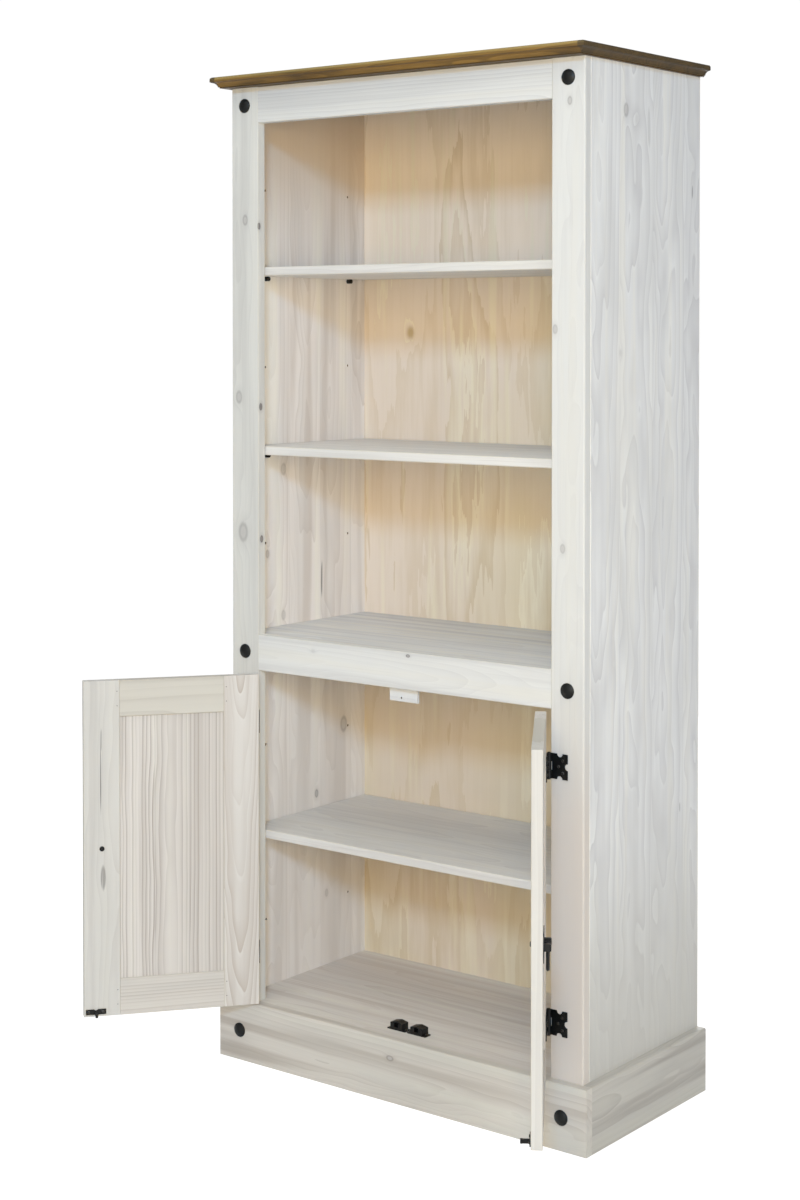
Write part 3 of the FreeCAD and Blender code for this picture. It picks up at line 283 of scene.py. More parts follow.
class Rings:
    """Growth rings of one board: distance from a pith line that runs askew below the face.

    The rings are circles about the pith. Its sideways place, its depth below the face and
    its slope along the board set straight lines, wide flat-sawn figure or arches. Each ring
    darkens slowly and ends at a sharp edge with a pale rim. Knots run through the board, and
    edge knots come out on its edge at +v."""

    def __init__(self, place, look, board):
        self.u, self.v, self.w = place.parts()
        seed = look["seed"]
        drift = place.noise(DRIFT_SCALE, shift=seed) - 0.5
        across, aside, deep, lean = self.v, look["aside"], look["deep"], look["lean"]
        if look["strip"]:
            count = self.v / look["strip"] + look["strip_shift"]
            strip = count.math("FLOOR")
            inside = count - strip - 0.5
            across = inside * look["strip"]
            first, second, third = strip.chance(seed, "Color").parts()
            aside = (first - 0.5) * (2 * look["aside"]) - strip * look["fan"]
            deep = look["deep"] * (0.35 + second * 1.3)
            lean = (third - 0.5) * (2 * look["lean"])
            self.tone = (strip * 1.7).chance(seed)
            half = look["strip"] / 2
            self.joint = (inside.math("ABSOLUTE") * look["strip"]).smooth(half - JOINT_WIDTH, half)
        sideways = across - aside + drift * look["wobble"]
        below = self.w + deep + self.u * lean + drift * (look["wobble"] * 1.6)
        radius = (sideways * sideways + below * below) ** 0.5
        self.knots = []
        edge = board.half[1]
        away = (1 - self.v.smooth(edge - EDGE_KNOT_FROM, edge - EDGE_KNOT_TO)) * OUT_OF_REACH
        for spots, side_wire, place_of, hide in (
            (look["knots"], self.v, board.v, 0.0), (look["edge_knots"], self.w, board.w, away)
        ):
            for along, side, size, dark in spots:
                off_u = (self.u - board.u(along)) * (KNOT_SQUEEZE / size)
                off_side = (side_wire - place_of(side)) * (1.0 / size)
                near = off_u * off_u + off_side * off_side + hide
                radius = radius + (near * KNOT_FALL).math("EXPONENT") * (size * KNOT_SWELL)
                self.knots.append((near ** 0.5, dark))
        turns = radius / look["pitch"] + drift * 0.9
        ring = turns.math("FLOOR")
        late = turns.node("ShaderNodeValToRGB", {"stops": LATE_STOPS}, {0: turns - ring})
        self.late = late ** look["crisp"] * (0.25 + 0.75 * ring.chance(seed + 5.5))
        self.fibre = place.noise(FIBRE_SCALE, shift=seed + 11.0, detail=3.0, rough=0.6)
        self.cloud = place.noise(CLOUD_SCALE, shift=seed + 23.0, detail=3.0, rough=0.55)
        wide = 1 / look["band_width"]
        self.band = place.noise((BAND_STRETCH, wide, wide), shift=seed + 37.0)


# Defaults of a board. Lengths are in mm: pitch is the width of a ring, aside and deep place the pith, wobble
# bends the rings, strip is the width of the glued strips or 0 for one board, and band_width is that of the
# long streaks. Lean is the pith's slope. Knots are (along, across, size, darkness), cracks (start, end,
# across, width, darkness), and the other values are strengths.
LOOK = {
    "seed": 1.0, "wash": 1.0, "pink": 0.0, "line_pink": None, "cream": 0.0, "dark": 1.0, "lines": 0.5,
    "grey": 0.35, "streak": 0.22, "bands": 0.3, "band_width": 24.0, "edge": 0.4, "crisp": 1.0, "pitch": 7.0,
    "aside": 8.0, "deep": 34.0, "lean": 0.03, "wobble": 18.0, "strip": 0.0, "strip_shift": 0.5, "fan": 0.0,
    "inside": 0, "knots": (), "edge_knots": (), "cracks": (), "zones": (),
}
CORE_BLEND = 3.0
HOLE_DEPTH = (1.0, 1.7)
EDGE_START, EDGE_REACH, EDGE_FRAY = 0.9, 4.2, 2.4
CREAM_GREEN, CREAM_BLUE = 0.02, 0.08
STRIP_TONE, STRIP_JOINT = 0.30, 0.35
BAND_RANGE, CLOUD_RANGE, FIBRE_RANGE = (0.50, 0.68), (0.40, 0.75), (0.50, 0.82)
KNOT_HEART, KNOT_RIM_IN, KNOT_RIM_OUT, KNOT_HALO = (0.35, 1.25), (0.5, 0.95), (1.0, 1.5), (0.8, 3.2)


def inside_mask(rings, half):
    """1 on the walls of holes and grooves, 0 on the board's own faces and rounded edges."""
    depth = half[0] - rings.u.math("ABSOLUTE")
    for reach, wire in ((half[1], rings.v), (half[2], rings.w)):
        depth = depth.math("MINIMUM", reach - wire.math("ABSOLUTE"))
    return depth.smooth(*HOLE_DEPTH)


def edge_mask(rings, half):
    """1 along a board's long edges, fading to 0 a few mm from them, broken up by its fibre."""
    from_side = half[1] - rings.v.math("ABSOLUTE")
    from_face = half[2] - rings.w.math("ABSOLUTE")
    nearest = from_side.math("MAXIMUM", from_face) + rings.fibre * EDGE_FRAY
    return 1 - nearest.smooth(EDGE_START, EDGE_REACH)


def on_side(rings, side):
    """1 on one side of a board, +1 or -1 along its thickness, and 0 on the other."""
    return (rings.w * side).smooth(-CORE_BLEND, CORE_BLEND)


def washed_pine(name, grain, face, **look):
    """White-washed pine: pale earlywood, darker latewood, grey clouds, knots and worn edges.

    Pink goes from the cool grey of the outside to the pinker wood of the inside, and cream
    takes away some blue. Inside gives the side of the board, +1 or -1 along its thickness,
    that faces into the case. Zones are stretches along the grain, from one level to another,
    each with the length of its fade, the strength of a tint, the option that holds its colour
    and the side of the board that it tints, +1 or -1 as above or 0 for both."""
    look = {**LOOK, **look}
    options = bpy.context.scene.bookcase.washed_pine
    board = Board(name, grain, face)
    finish = Finish("washed_pine_" + name)
    rings = Rings(finish.space(board.origin, board.turn), look, board)
    # Wash scales the board's whole colour. Besides each board's own tone it holds painted light and shade:
    # boards such as the side panels were made paler, and others such as the plinth darker, to stand in for
    # the light that falls on them.
    wash = look["wash"]
    shade = (wash, wash * (1 - CREAM_GREEN * look["cream"]), wash * (1 - CREAM_BLUE * look["cream"]))

    def between(cool, pink, share):
        """A share of the way from cool to pink, and wholly pink on the side inside the case."""
        mixed = scaled([a + (b - a) * share for a, b in zip(cool, pink)], *shade)
        if not look["inside"]:
            return mixed
        return on_side(rings, look["inside"]).tint(mixed, scaled(pink, *shade))

    line_pink = look["pink"] if look["line_pink"] is None else look["line_pink"]
    pale = between(options.wash_colour, options.pink_wash_colour, look["pink"])
    lines = (scaled(colour, look["dark"]) for colour in (options.line_colour, options.pink_line_colour))
    line = between(*lines, line_pink)
    grey = scaled(options.grey_colour, *shade)
    cream = scaled(options.cream_colour, wash)
    show = rings.late * (0.45 + 0.9 * rings.cloud) * (look["lines"] * options.grain_strength)
    colour = show.tint(pale, line)
    if look["strip"]:
        colour = (rings.tone * STRIP_TONE).tint(colour, line)
        colour = (rings.joint * STRIP_JOINT).tint(colour, options.knot_colour)
    colour = (rings.band.smooth(*BAND_RANGE) * look["bands"]).tint(colour, line)
    colour = ((1 - rings.band).smooth(*BAND_RANGE) * look["bands"]).tint(colour, cream)
    colour = (rings.cloud.smooth(*CLOUD_RANGE) * look["grey"]).tint(colour, grey)
    colour = (rings.fibre.smooth(*FIBRE_RANGE) * look["streak"]).tint(colour, line)
    # The zones that the boards list are all painted light and shade, tinting stretches of a board paler or
    # darker.
    for low, high, fade, strength, tone, side in look["zones"]:
        zone = rings.u.smooth(board.u(low) - fade, board.u(low) + fade)
        zone = zone * (1 - rings.u.smooth(board.u(high) - fade, board.u(high) + fade))
        if side:
            zone = zone * on_side(rings, side)
        colour = (zone * strength).tint(colour, scaled(getattr(options, tone), wash))
    dent = rings.late * -0.5 + rings.fibre * -0.6
    for near, dark in rings.knots:
        heart = 1 - near.smooth(*KNOT_HEART)
        rim = near.smooth(*KNOT_RIM_IN) * (1 - near.smooth(*KNOT_RIM_OUT))
        halo = 1 - near.smooth(*KNOT_HALO)
        colour = (halo * (0.35 * dark)).tint(colour, line)
        colour = (heart * (0.8 * dark)).tint(colour, options.knot_colour)
        colour = (heart * max(0.0, dark - 1.0)).tint(colour, options.knot_rim_colour)
        colour = (rim * max(0.0, dark - 0.35)).tint(colour, options.knot_rim_colour)
        dent = dent - rim * 0.6
    for start, end, side, width, dark in look["cracks"]:
        off_u = (rings.u - (board.u(start) + board.u(end)) / 2) / (abs(end - start) / 2)
        off_v = (rings.v - board.v(side) + (rings.cloud - 0.5) * (2.5 * width)) / width
        split = (1 - (off_u * off_u + off_v * off_v).smooth(0.3, 1.0)) * rings.fibre.smooth(0.3, 0.5)
        colour = (split * dark).tint(colour, options.crack_colour)
        dent = dent - split
    worn = edge_mask(rings, board.half) * look["edge"]
    colour = worn.tint(colour, scaled(options.edge_colour, wash))
    # Walls of holes and grooves take raw wood, darkened as painted shade of the recess.
    colour = inside_mask(rings, board.half).tint(colour, options.raw_wood_shade_colour)
    finish.set(Base_Color=colour, Roughness=0.50 + rings.late * 0.10 + rings.fibre * 0.16)
    finish.bump(dent, strength=0.35, depth_mm=0.35)
    wear(name, finish.material)


class WashedPineOptions(bpy.types.PropertyGroup):
    """Colours of the washed pine boards."""

    wash_colour: bpy.props.FloatVectorProperty(
        name="Wash", description="Pale wash in the soft earlywood",
        subtype="COLOR", default=srgb(238, 238, 236),
    )
    line_colour: bpy.props.FloatVectorProperty(
        name="Grain line", description="Latewood that shows through",
        subtype="COLOR", default=srgb(196, 194, 195),
    )
    pink_wash_colour: bpy.props.FloatVectorProperty(
        name="Inner wash", description="Pinker wash inside the case",
        subtype="COLOR", default=srgb(238, 231, 225),
    )
    pink_line_colour: bpy.props.FloatVectorProperty(
        name="Inner grain line", description="Latewood inside the case",
        subtype="COLOR", default=srgb(198, 183, 171),
    )
    grey_colour: bpy.props.FloatVectorProperty(
        name="Grey", description="Cloudy grey of thin wash",
        subtype="COLOR", default=srgb(208, 207, 205),
    )
    knot_colour: bpy.props.FloatVectorProperty(
        name="Knot", description="Heart of a knot",
        subtype="COLOR", default=srgb(172, 167, 163),
    )
    knot_rim_colour: bpy.props.FloatVectorProperty(
        name="Knot rim", description="Dark ring round a knot",
        subtype="COLOR", default=srgb(112, 106, 104),
    )
    cream_colour: bpy.props.FloatVectorProperty(
        name="Cream", description="Long creamy streaks of sapwood",
        subtype="COLOR", default=srgb(240, 235, 220),
    )
    crack_colour: bpy.props.FloatVectorProperty(
        name="Crack", description="Depth of a crack or bark streak",
        subtype="COLOR", default=srgb(104, 99, 97),
    )
    # Raw wood darkened with painted shade, for the walls of holes and grooves.
    raw_wood_shade_colour: bpy.props.FloatVectorProperty(
        name="Raw wood", description="Walls of holes and grooves",
        subtype="COLOR", default=srgb(112, 88, 62),
    )
    edge_colour: bpy.props.FloatVectorProperty(
        name="Worn edge", description="Bare wood along an edge",
        subtype="COLOR", default=srgb(222, 210, 188),
    )
    # Painted shade: a warm, darker tint on the lower right stile that stands in for the shade of the open
    # right door.
    painted_door_shade_colour: bpy.props.FloatVectorProperty(
        name="Blush", description="Pinkish wood where the wash is thin",
        subtype="COLOR", default=srgb(234, 220, 206),
    )
    # Painted shade: a greyer, darker wash at the foot of the right side, where less light falls.
    painted_foot_shade_colour: bpy.props.FloatVectorProperty(
        name="Dusk", description="Greyed wash at the foot of a side",
        subtype="COLOR", default=srgb(186, 182, 172),
    )
    # Painted light: a paler wash that brightens the inner left wall of the cupboard.
    painted_cupboard_light_colour: bpy.props.FloatVectorProperty(
        name="Clean wash", description="Wash kept clean behind the doors",
        subtype="COLOR", default=srgb(252, 247, 240),
    )
    # Painted shade: a browner, darker wash on the inside of the left wall in the top bay, where the top rail
    # shades it.
    painted_top_shade_colour: bpy.props.FloatVectorProperty(
        name="Smoky wash", description="Browner wood under the top",
        subtype="COLOR", default=srgb(196, 172, 144),
    )
    grain_strength: bpy.props.FloatProperty(
        name="Grain", description="How strongly the grain shows",
        subtype="FACTOR", default=1.0, min=0.0, max=3.0,
    )


class StainedPineOptions(bpy.types.PropertyGroup):
    """Colours of the stained top board."""

    stain_colour: bpy.props.FloatVectorProperty(
        name="Stain", description="Honey-brown stain",
        subtype="COLOR", default=srgb(132, 95, 38),
    )
    dark_colour: bpy.props.FloatVectorProperty(
        name="Dark grain", description="Stained latewood",
        subtype="COLOR", default=srgb(50, 37, 18),
    )
    # Painted highlight: a paler tint on the crown of the front nose, where light from above catches it.
    nose_highlight_colour: bpy.props.FloatVectorProperty(
        name="Crown", description="Rubbed crown of the front nose",
        subtype="COLOR", default=srgb(172, 148, 84),
    )
    end_colour: bpy.props.FloatVectorProperty(
        name="End grain", description="End grain that takes more stain",
        subtype="COLOR", default=srgb(56, 46, 30),
    )


class BackPlyOptions(bpy.types.PropertyGroup):
    """Colours of the plywood back."""

    veneer_colour: bpy.props.FloatVectorProperty(
        name="Veneer", description="Plain veneer",
        subtype="COLOR", default=srgb(232, 216, 184),
    )
    rosy_colour: bpy.props.FloatVectorProperty(
        name="Rosy veneer", description="Pinker leaf of the veneer",
        subtype="COLOR", default=srgb(236, 218, 198),
    )
    flame_colour: bpy.props.FloatVectorProperty(
        name="Flame", description="Darker figure",
        subtype="COLOR", default=srgb(204, 177, 132),
    )
    knot_colour: bpy.props.FloatVectorProperty(
        name="Veneer knot", description="Small knot in the veneer",
        subtype="COLOR", default=srgb(176, 146, 92),
    )
    # Painted light: a paler veneer tint that brightens the inside of the back above the upper shelf.
    painted_light_colour: bpy.props.FloatVectorProperty(
        name="Pale veneer", description="Paler leaf above the upper shelf",
        subtype="COLOR", default=srgb(255, 236, 214),
    )
    light_colour: bpy.props.FloatVectorProperty(
        name="Light line", description="Yellowish light line",
        subtype="COLOR", default=srgb(244, 232, 202),
    )


class IronOptions(bpy.types.PropertyGroup):
    """Looks of the black metalwork and plastic."""

    iron_colour: bpy.props.FloatVectorProperty(
        name="Iron", description="Black paint on iron",
        subtype="COLOR", default=srgb(5, 6, 6),
    )
    worn_colour: bpy.props.FloatVectorProperty(
        name="Rubbed", description="Where the black is rubbed",
        subtype="COLOR", default=srgb(20, 19, 18),
    )
    plastic_colour: bpy.props.FloatVectorProperty(
        name="Plastic", description="Black plastic",
        subtype="COLOR", default=srgb(5, 5, 5),
    )


class StageOptions(bpy.types.PropertyGroup):
    """Camera, light and floor."""

    camera_place: bpy.props.FloatVectorProperty(
        name="Camera", description="Where the camera stands", subtype="TRANSLATION", unit="LENGTH",
        default=(2.2168, -2.8468, 1.3312),
    )
    camera_turn: bpy.props.FloatProperty(
        name="Turn", description="Camera's turn about the upright axis",
        subtype="ANGLE", default=math.radians(37.822),
    )
    camera_dip: bpy.props.FloatProperty(
        name="Dip", description="How far the camera looks down", subtype="ANGLE", default=math.radians(1.2)
    )
    camera_lens: bpy.props.FloatProperty(
        name="Lens", description="Focal length in mm on a 36 mm sensor", default=62.705, min=1.0
    )
    camera_shift: bpy.props.FloatProperty(
        name="Shift", description="Vertical lens shift", default=-0.185
    )
    key_place: bpy.props.FloatVectorProperty(
        name="Key light", description="Where the key light stands", subtype="TRANSLATION", unit="LENGTH",
        default=(3.84, -5.67, 3.68),
    )
    key_power: bpy.props.FloatProperty(
        name="Key power", description="Watts of the key light", default=253.0, min=0.0
    )
    fill_power: bpy.props.FloatProperty(
        name="Fill power", description="Watts of the fill light by the camera", default=48.5, min=0.0
    )
    left_power: bpy.props.FloatProperty(
        name="Left fill power", description="Watts of the weak fill on the left", default=4.0, min=0.0
    )
    side_power: bpy.props.FloatProperty(
        name="Side power", description="Watts of the light on the right", default=22.0, min=0.0
    )
    rear_power: bpy.props.FloatProperty(
        name="Rear power", description="Watts of the light behind", default=75.0, min=0.0
    )
    far_power: bpy.props.FloatProperty(
        name="Far side power", description="Watts of the light on the far left", default=24.0, min=0.0
    )
    top_power: bpy.props.FloatProperty(
        name="Top power", description="Watts of the light overhead", default=36.0, min=0.0
    )
    room_light: bpy.props.FloatProperty(
        name="Room light", description="Even light from all round", default=0.2, min=0.0
    )
    room_colour: bpy.props.FloatVectorProperty(
        name="Room colour", description="Colour of the even light",
        subtype="COLOR", default=(1.0, 0.96, 0.89),
    )
    print_gamma: bpy.props.FloatProperty(
        name="Gamma", description="Soft contrast of the print", default=1.25, min=0.5, max=2.0
    )
    floor_radius: bpy.props.FloatProperty(
        name="Floor", description="Radius of the round floor", subtype="DISTANCE", default=12.0
    )


class BookcaseOptions(bpy.types.PropertyGroup):
    """All that a user would change."""

    washed_pine: bpy.props.PointerProperty(type=WashedPineOptions)
    stained_pine: bpy.props.PointerProperty(type=StainedPineOptions)
    back_ply: bpy.props.PointerProperty(type=BackPlyOptions)
    iron: bpy.props.PointerProperty(type=IronOptions)
    stage: bpy.props.PointerProperty(type=StageOptions)


class BOOKCASE_OT_face_frame(bpy.types.Operator):
    """Finish the two stiles and two rails of the face frame"""

    bl_idname = "bookcase.face_frame"
    bl_label = "Face frame"

    def execute(self, context):
        washed_pine(
            "right_front_stile", "z", "y", seed=3.0, wash=0.82, cream=0.4, lines=0.25, grey=0.12, streak=0.3,
            bands=0.25, aside=14.0, deep=60.0, lean=0.012,
            # The zone is painted shade of the open right door on the lower stile.
            zones=((-400.0, 625.0, 125.0, 0.85, "painted_door_shade_colour", 0),),
            knots=((1709.4, 354.7, 3.6, 0.8), (1339.4, 326.9, 4.0, 0.7), (981.7, 342.1, 4.0, 0.7)),
        )
        washed_pine(
            "left_front_stile", "z", "y", seed=8.0, wash=0.795, cream=0.9, lines=0.35, grey=0.35, aside=-22.0,
            deep=30.0, lean=0.006,
            knots=((1539.6, -351.2, 5.0, 0.8), (1216.0, -367.0, 6.0, 0.75), (968.5, -357.0, 9.0, 0.75)),
            edge_knots=((1527.7, 3.0, 3.0, 2.0), (1198.9, 7.0, 3.2, 2.0), (957.4, 9.0, 3.2, 1.8)),
        )
        washed_pine(
            "top_rail", "x", "y", seed=14.0, wash=0.86, cream=0.5, lines=0.8, grey=0.2, aside=40.0, deep=24.0,
            lean=0.01, pitch=6.0,
        )
        washed_pine(
            "middle_rail", "x", "y", seed=19.0, wash=0.89, cream=0.4, lines=0.35, grey=0.2, bands=0.4,
            aside=6.0, deep=30.0, lean=0.05, knots=((24.0, 776.5, 2.2, 1.3), (-190.0, 765.0, 3.0, 0.4)),
        )
        return {"FINISHED"}


class BOOKCASE_OT_side_panels(bpy.types.Operator):
    """Finish the two edge-glued side panels"""

    bl_idname = "bookcase.side_panels"
    bl_label = "Side panels"

    def execute(self, context):
        washed_pine(
            "right_side_panel", "z", "x", seed=31.0, wash=1.05, lines=1.0, grey=0.7, streak=0.10, bands=0.35,
            inside=-1, strip=104.0, strip_shift=0.17, aside=20.0, deep=44.0, lean=0.07, pitch=12.0,
            wobble=40.0,
            # The zone is painted shade, darkening the foot of the outer face as the light falls off towards
            # the floor.
            zones=((-400.0, 340.0, 260.0, 0.82, "painted_foot_shade_colour", 1),),
            knots=((1703.0, 125.4, 6.0, 0.75), (1690.0, 160.0, 7.0, 0.25), (1300.0, 110.0, 4.0, 0.4)),
            cracks=(
                (1640.0, 1720.0, 199.0, 7.0, 0.25), (1565.0, 1592.0, 344.0, 2.5, 0.6),
                (500.0, 520.0, 307.0, 2.5, 0.5),
            ),
        )
        washed_pine(
            "left_side_panel", "z", "x", seed=44.0, wash=1.03, dark=0.85, lines=0.6, grey=0.35, streak=0.08,
            bands=0.6, band_width=42.0, inside=1, strip=92.0, strip_shift=0.4, aside=20.0, deep=40.0,
            lean=0.06, pitch=10.0, wobble=34.0,
            zones=(
                # Painted light on the cupboard's inner left wall.
                (-400.0, 675.0, 65.0, 0.22, "painted_cupboard_light_colour", 1),
                # Painted shade in the top bay, under the top rail and the top.
                (1590.0, 2200.0, 140.0, 0.9, "painted_top_shade_colour", 1),
            ),
            knots=(
                (1077.4, 122.7, 6.0, 0.7), (921.1, 76.9, 4.0, 0.7), (802.2, 122.3, 5.0, 0.6),
                (570.1, 300.6, 8.0, 0.8), (447.8, 218.4, 4.0, 0.9), (249.4, 248.1, 4.0, 0.6),
            ),
            cracks=((820.0, 900.0, 235.0, 3.0, 0.9),),
        )
        return {"FINISHED"}


class BOOKCASE_OT_fixed_boards(bpy.types.Operator):
    """Finish the fixed middle shelf, the cupboard floor and the door stop"""

    bl_idname = "bookcase.fixed_boards"
    bl_label = "Fixed boards"

    def execute(self, context):
        glued = {"bands": 0.5, "strip": 88.0, "lean": 0.03, "aside": 20.0}
        washed_pine("middle_shelf", "x", "z", seed=52.0, wash=0.92, dark=0.9, streak=0.6, **glued)
        washed_pine("bottom_panel", "x", "z", seed=57.0, wash=0.89, pink=1.0, cream=0.4, streak=0.5, **glued)
        washed_pine("door_stop_block", "x", "z", seed=61.0, wash=0.9)
        return {"FINISHED"}


class BOOKCASE_OT_plinth(bpy.types.Operator):
    """Finish the plinth boards"""

    bl_idname = "bookcase.plinth"
    bl_label = "Plinth"

    def execute(self, context):
        washed_pine(
            "plinth_front_board", "x", "y", seed=66.0, wash=0.755, pink=0.9, cream=1.1, dark=0.85, lines=0.6,
            bands=0.7, band_width=34.0, aside=10.0, deep=26.0, lean=0.035, wobble=36.0, pitch=9.0,
            knots=((-2.3, 76.9, 4.0, 0.9),),
        )
        for seed, name in ((71.0, "plinth_right_board"), (75.0, "plinth_left_board")):
            washed_pine(
                name, "y", "x", seed=seed, wash=0.65, pink=0.5, cream=1.3, dark=0.75, lines=0.8, bands=0.7,
                band_width=30.0, aside=12.0, lean=0.02,
            )
        washed_pine("plinth_rear_rail", "x", "y", seed=79.0, wash=0.75, pink=0.5, cream=0.8, lean=0.02)
        return {"FINISHED"}


# Places in mm of the top's painted shade underneath and in its groove, of its painted highlight on the crown
# of the nose, and of its end grain.
UNDERSIDE = (7.4, 8.6)
GROOVE_LEVEL, GROOVE_WIDTH = 0.4, (0.4, 1.6)
CROWN_LEVEL, CROWN_WIDTH = (3.0, 8.0), (3.0, 7.0)
END_GRAIN_FROM, END_GRAIN_TO = 13.5, 11.0


class BOOKCASE_OT_top_board(bpy.types.Operator):
    """Finish the stained and moulded top board"""

    bl_idname = "bookcase.top_board"
    bl_label = "Top board"

    def execute(self, context):
        options = context.scene.bookcase.stained_pine
        look = {**LOOK, "seed": 91.0, "strip": 104.0, "aside": 26.0, "deep": 36.0, "pitch": 6.0, "crisp": 1.3}
        board = Board("top_board", "x", "z")
        finish = Finish("stained_pine_top_board")
        rings = Rings(finish.space(board.origin, board.turn), look, board)
        show = rings.late * (0.7 + 0.8 * rings.cloud)
        colour = show.tint(options.stain_colour, options.dark_colour)
        colour = (rings.cloud.smooth(0.44, 0.66) * 0.55).tint(colour, options.dark_colour)
        colour = (rings.tone * 0.25).tint(colour, options.dark_colour)
        colour = (rings.fibre.smooth(0.45, 0.8) * 0.45).tint(colour, options.dark_colour)
        # Painted shade: the underside and the lip below the moulding darkened towards the dark grain colour.
        under = (rings.w * -1.0).smooth(*UNDERSIDE)
        # Painted shade in the groove of the moulding.
        groove = 1 - (rings.w - GROOVE_LEVEL).math("ABSOLUTE").smooth(*GROOVE_WIDTH)
        colour = (under * 0.8 + groove * 0.45).tint(colour, options.dark_colour)
        # Painted highlight: the crown of the front nose tinted paler, where light from above catches it.
        crown = rings.w.smooth(*CROWN_LEVEL) * (1 - (rings.v + board.half[1]).smooth(*CROWN_WIDTH))
        colour = (crown * (0.3 + 0.4 * rings.fibre)).tint(colour, options.nose_highlight_colour)
        end = board.half[0]
        ends = rings.u.math("ABSOLUTE").smooth(end - END_GRAIN_FROM, end - END_GRAIN_TO)
        colour = (ends * (0.6 + 0.4 * rings.fibre)).tint(colour, options.end_colour)
        rough = 0.50 + rings.late * 0.08 + rings.fibre * 0.14
        finish.set(Base_Color=colour, Roughness=rough, Specular_IOR_Level=0.2)
        finish.bump(rings.late * 0.5 - rings.fibre, strength=0.3, depth_mm=0.3)
        wear("top_board", finish.material)
        return {"FINISHED"}


FIGURE_SCALE = (0.0013, 0.0062, 0.0062)
VENEER_FIBRE_SCALE = (0.004, 0.22, 0.22)
FEATHER_SCALE = (0.006, 0.07, 0.07)
LEAF_SCALE = (0.0012, 0.0035, 0.0035)
STREAK_SCALE = (0.0018, 0.035, 0.035)
DOORS_TOP = (740.0, 790.0)
UPPER_SHELF_LEVEL = (1420.0, 1470.0)
BACK_KNOTS = ((1334.0, -251.0, 6.0), (500.0, 130.0, 5.0), (1560.0, 210.0, 4.0))


class BOOKCASE_OT_back_panel(bpy.types.Operator):
    """Finish the plywood back with its upright flame figure"""

    bl_idname = "bookcase.back_panel"
    bl_label = "Back panel"

    def execute(self, context):
        options = context.scene.bookcase.back_ply
        board = Board("back_panel", "z", "y")
        finish = Finish("pine_ply_back_panel")
        place = finish.space(board.origin, board.turn)
        u, v, w = place.parts()
        figure = place.noise(FIGURE_SCALE, shift=4.0, detail=2.5, rough=0.45)
        fibre = place.noise(VENEER_FIBRE_SCALE, shift=9.0, detail=3.0, rough=0.6)
        feather = place.noise(FEATHER_SCALE, shift=15.0, detail=3.0, rough=0.6)
        turns = figure * 10.0 + v / 260.0 + (feather - 0.5) * 1.6
        knots = []
        for along, side, size in BACK_KNOTS:
            off_u = (u - board.u(along)) * (0.7 / size)
            off_v = (v - board.v(side)) * (1.0 / size)
            near = off_u * off_u + off_v * off_v
            turns = turns + (near * -0.12).math("EXPONENT") * 1.4
            knots.append(near ** 0.5)
        ring = turns.math("FLOOR")
        edge = turns - ring
        bold = ring.chance(7.0)
        rim = 1 - edge.smooth(0.02, 0.34)
        leaf = place.noise(LEAF_SCALE, shift=21.0)
        within = 1 - w.smooth(-0.5, 0.5)
        # Painted shade: the inside of the back darkened behind the doors.
        painted_shade_behind_doors = (1 - u.smooth(*map(board.u, DOORS_TOP))) * within
        # Painted light: the inside of the back made paler above the upper shelf.
        painted_light_above_shelf = u.smooth(*map(board.u, UPPER_SHELF_LEVEL)) * within
        veneer = leaf.smooth(0.40, 0.60).tint(options.veneer_colour, options.rosy_colour)
        # Painted light above the upper shelf.
        veneer = (painted_light_above_shelf * 0.8).tint(veneer, options.painted_light_colour)
        colour = (edge.smooth(0.2, 1.0) * (0.05 + 0.7 * bold)).tint(veneer, options.flame_colour)
        colour = (rim * bold.smooth(0.35, 0.8) * 0.7).tint(colour, options.light_colour)
        pale = place.noise(STREAK_SCALE, shift=27.0).smooth(0.54, 0.72)
        colour = (pale * 0.75).tint(colour, options.light_colour)
        for near in knots:
            colour = ((1 - near.smooth(0.5, 2.2)) * 0.75).tint(colour, options.knot_colour)
        # Painted shade behind the doors, towards the flame colour.
        colour = (painted_shade_behind_doors * 0.24).tint(colour, options.flame_colour)
        colour = (fibre.smooth(0.45, 0.8) * 0.12).tint(colour, options.flame_colour)
        finish.set(Base_Color=colour, Roughness=0.55 + fibre * 0.15)
        finish.bump(fibre * -1.0, strength=0.2, depth_mm=0.2)
        wear("back_panel", finish.material)
        return {"FINISHED"}


class BOOKCASE_OT_loose_shelves(bpy.types.Operator):
    """Finish the three loose shelves"""

    bl_idname = "bookcase.loose_shelves"
    bl_label = "Loose shelves"

    def execute(self, context):
        shelves = (("upper_shelf", 0.89), ("centre_shelf", 0.95), ("cupboard_shelf", 0.94))
        for number, (name, wash) in enumerate(shelves):
            washed_pine(
                name, "x", "z", seed=103.0 + 6.0 * number, wash=wash, pink=0.3, cream=0.5, streak=0.5,
                edge=0.6, strip=86.0, strip_shift=0.3 * number, aside=20.0, lean=0.03,
            )
        return {"FINISHED"}


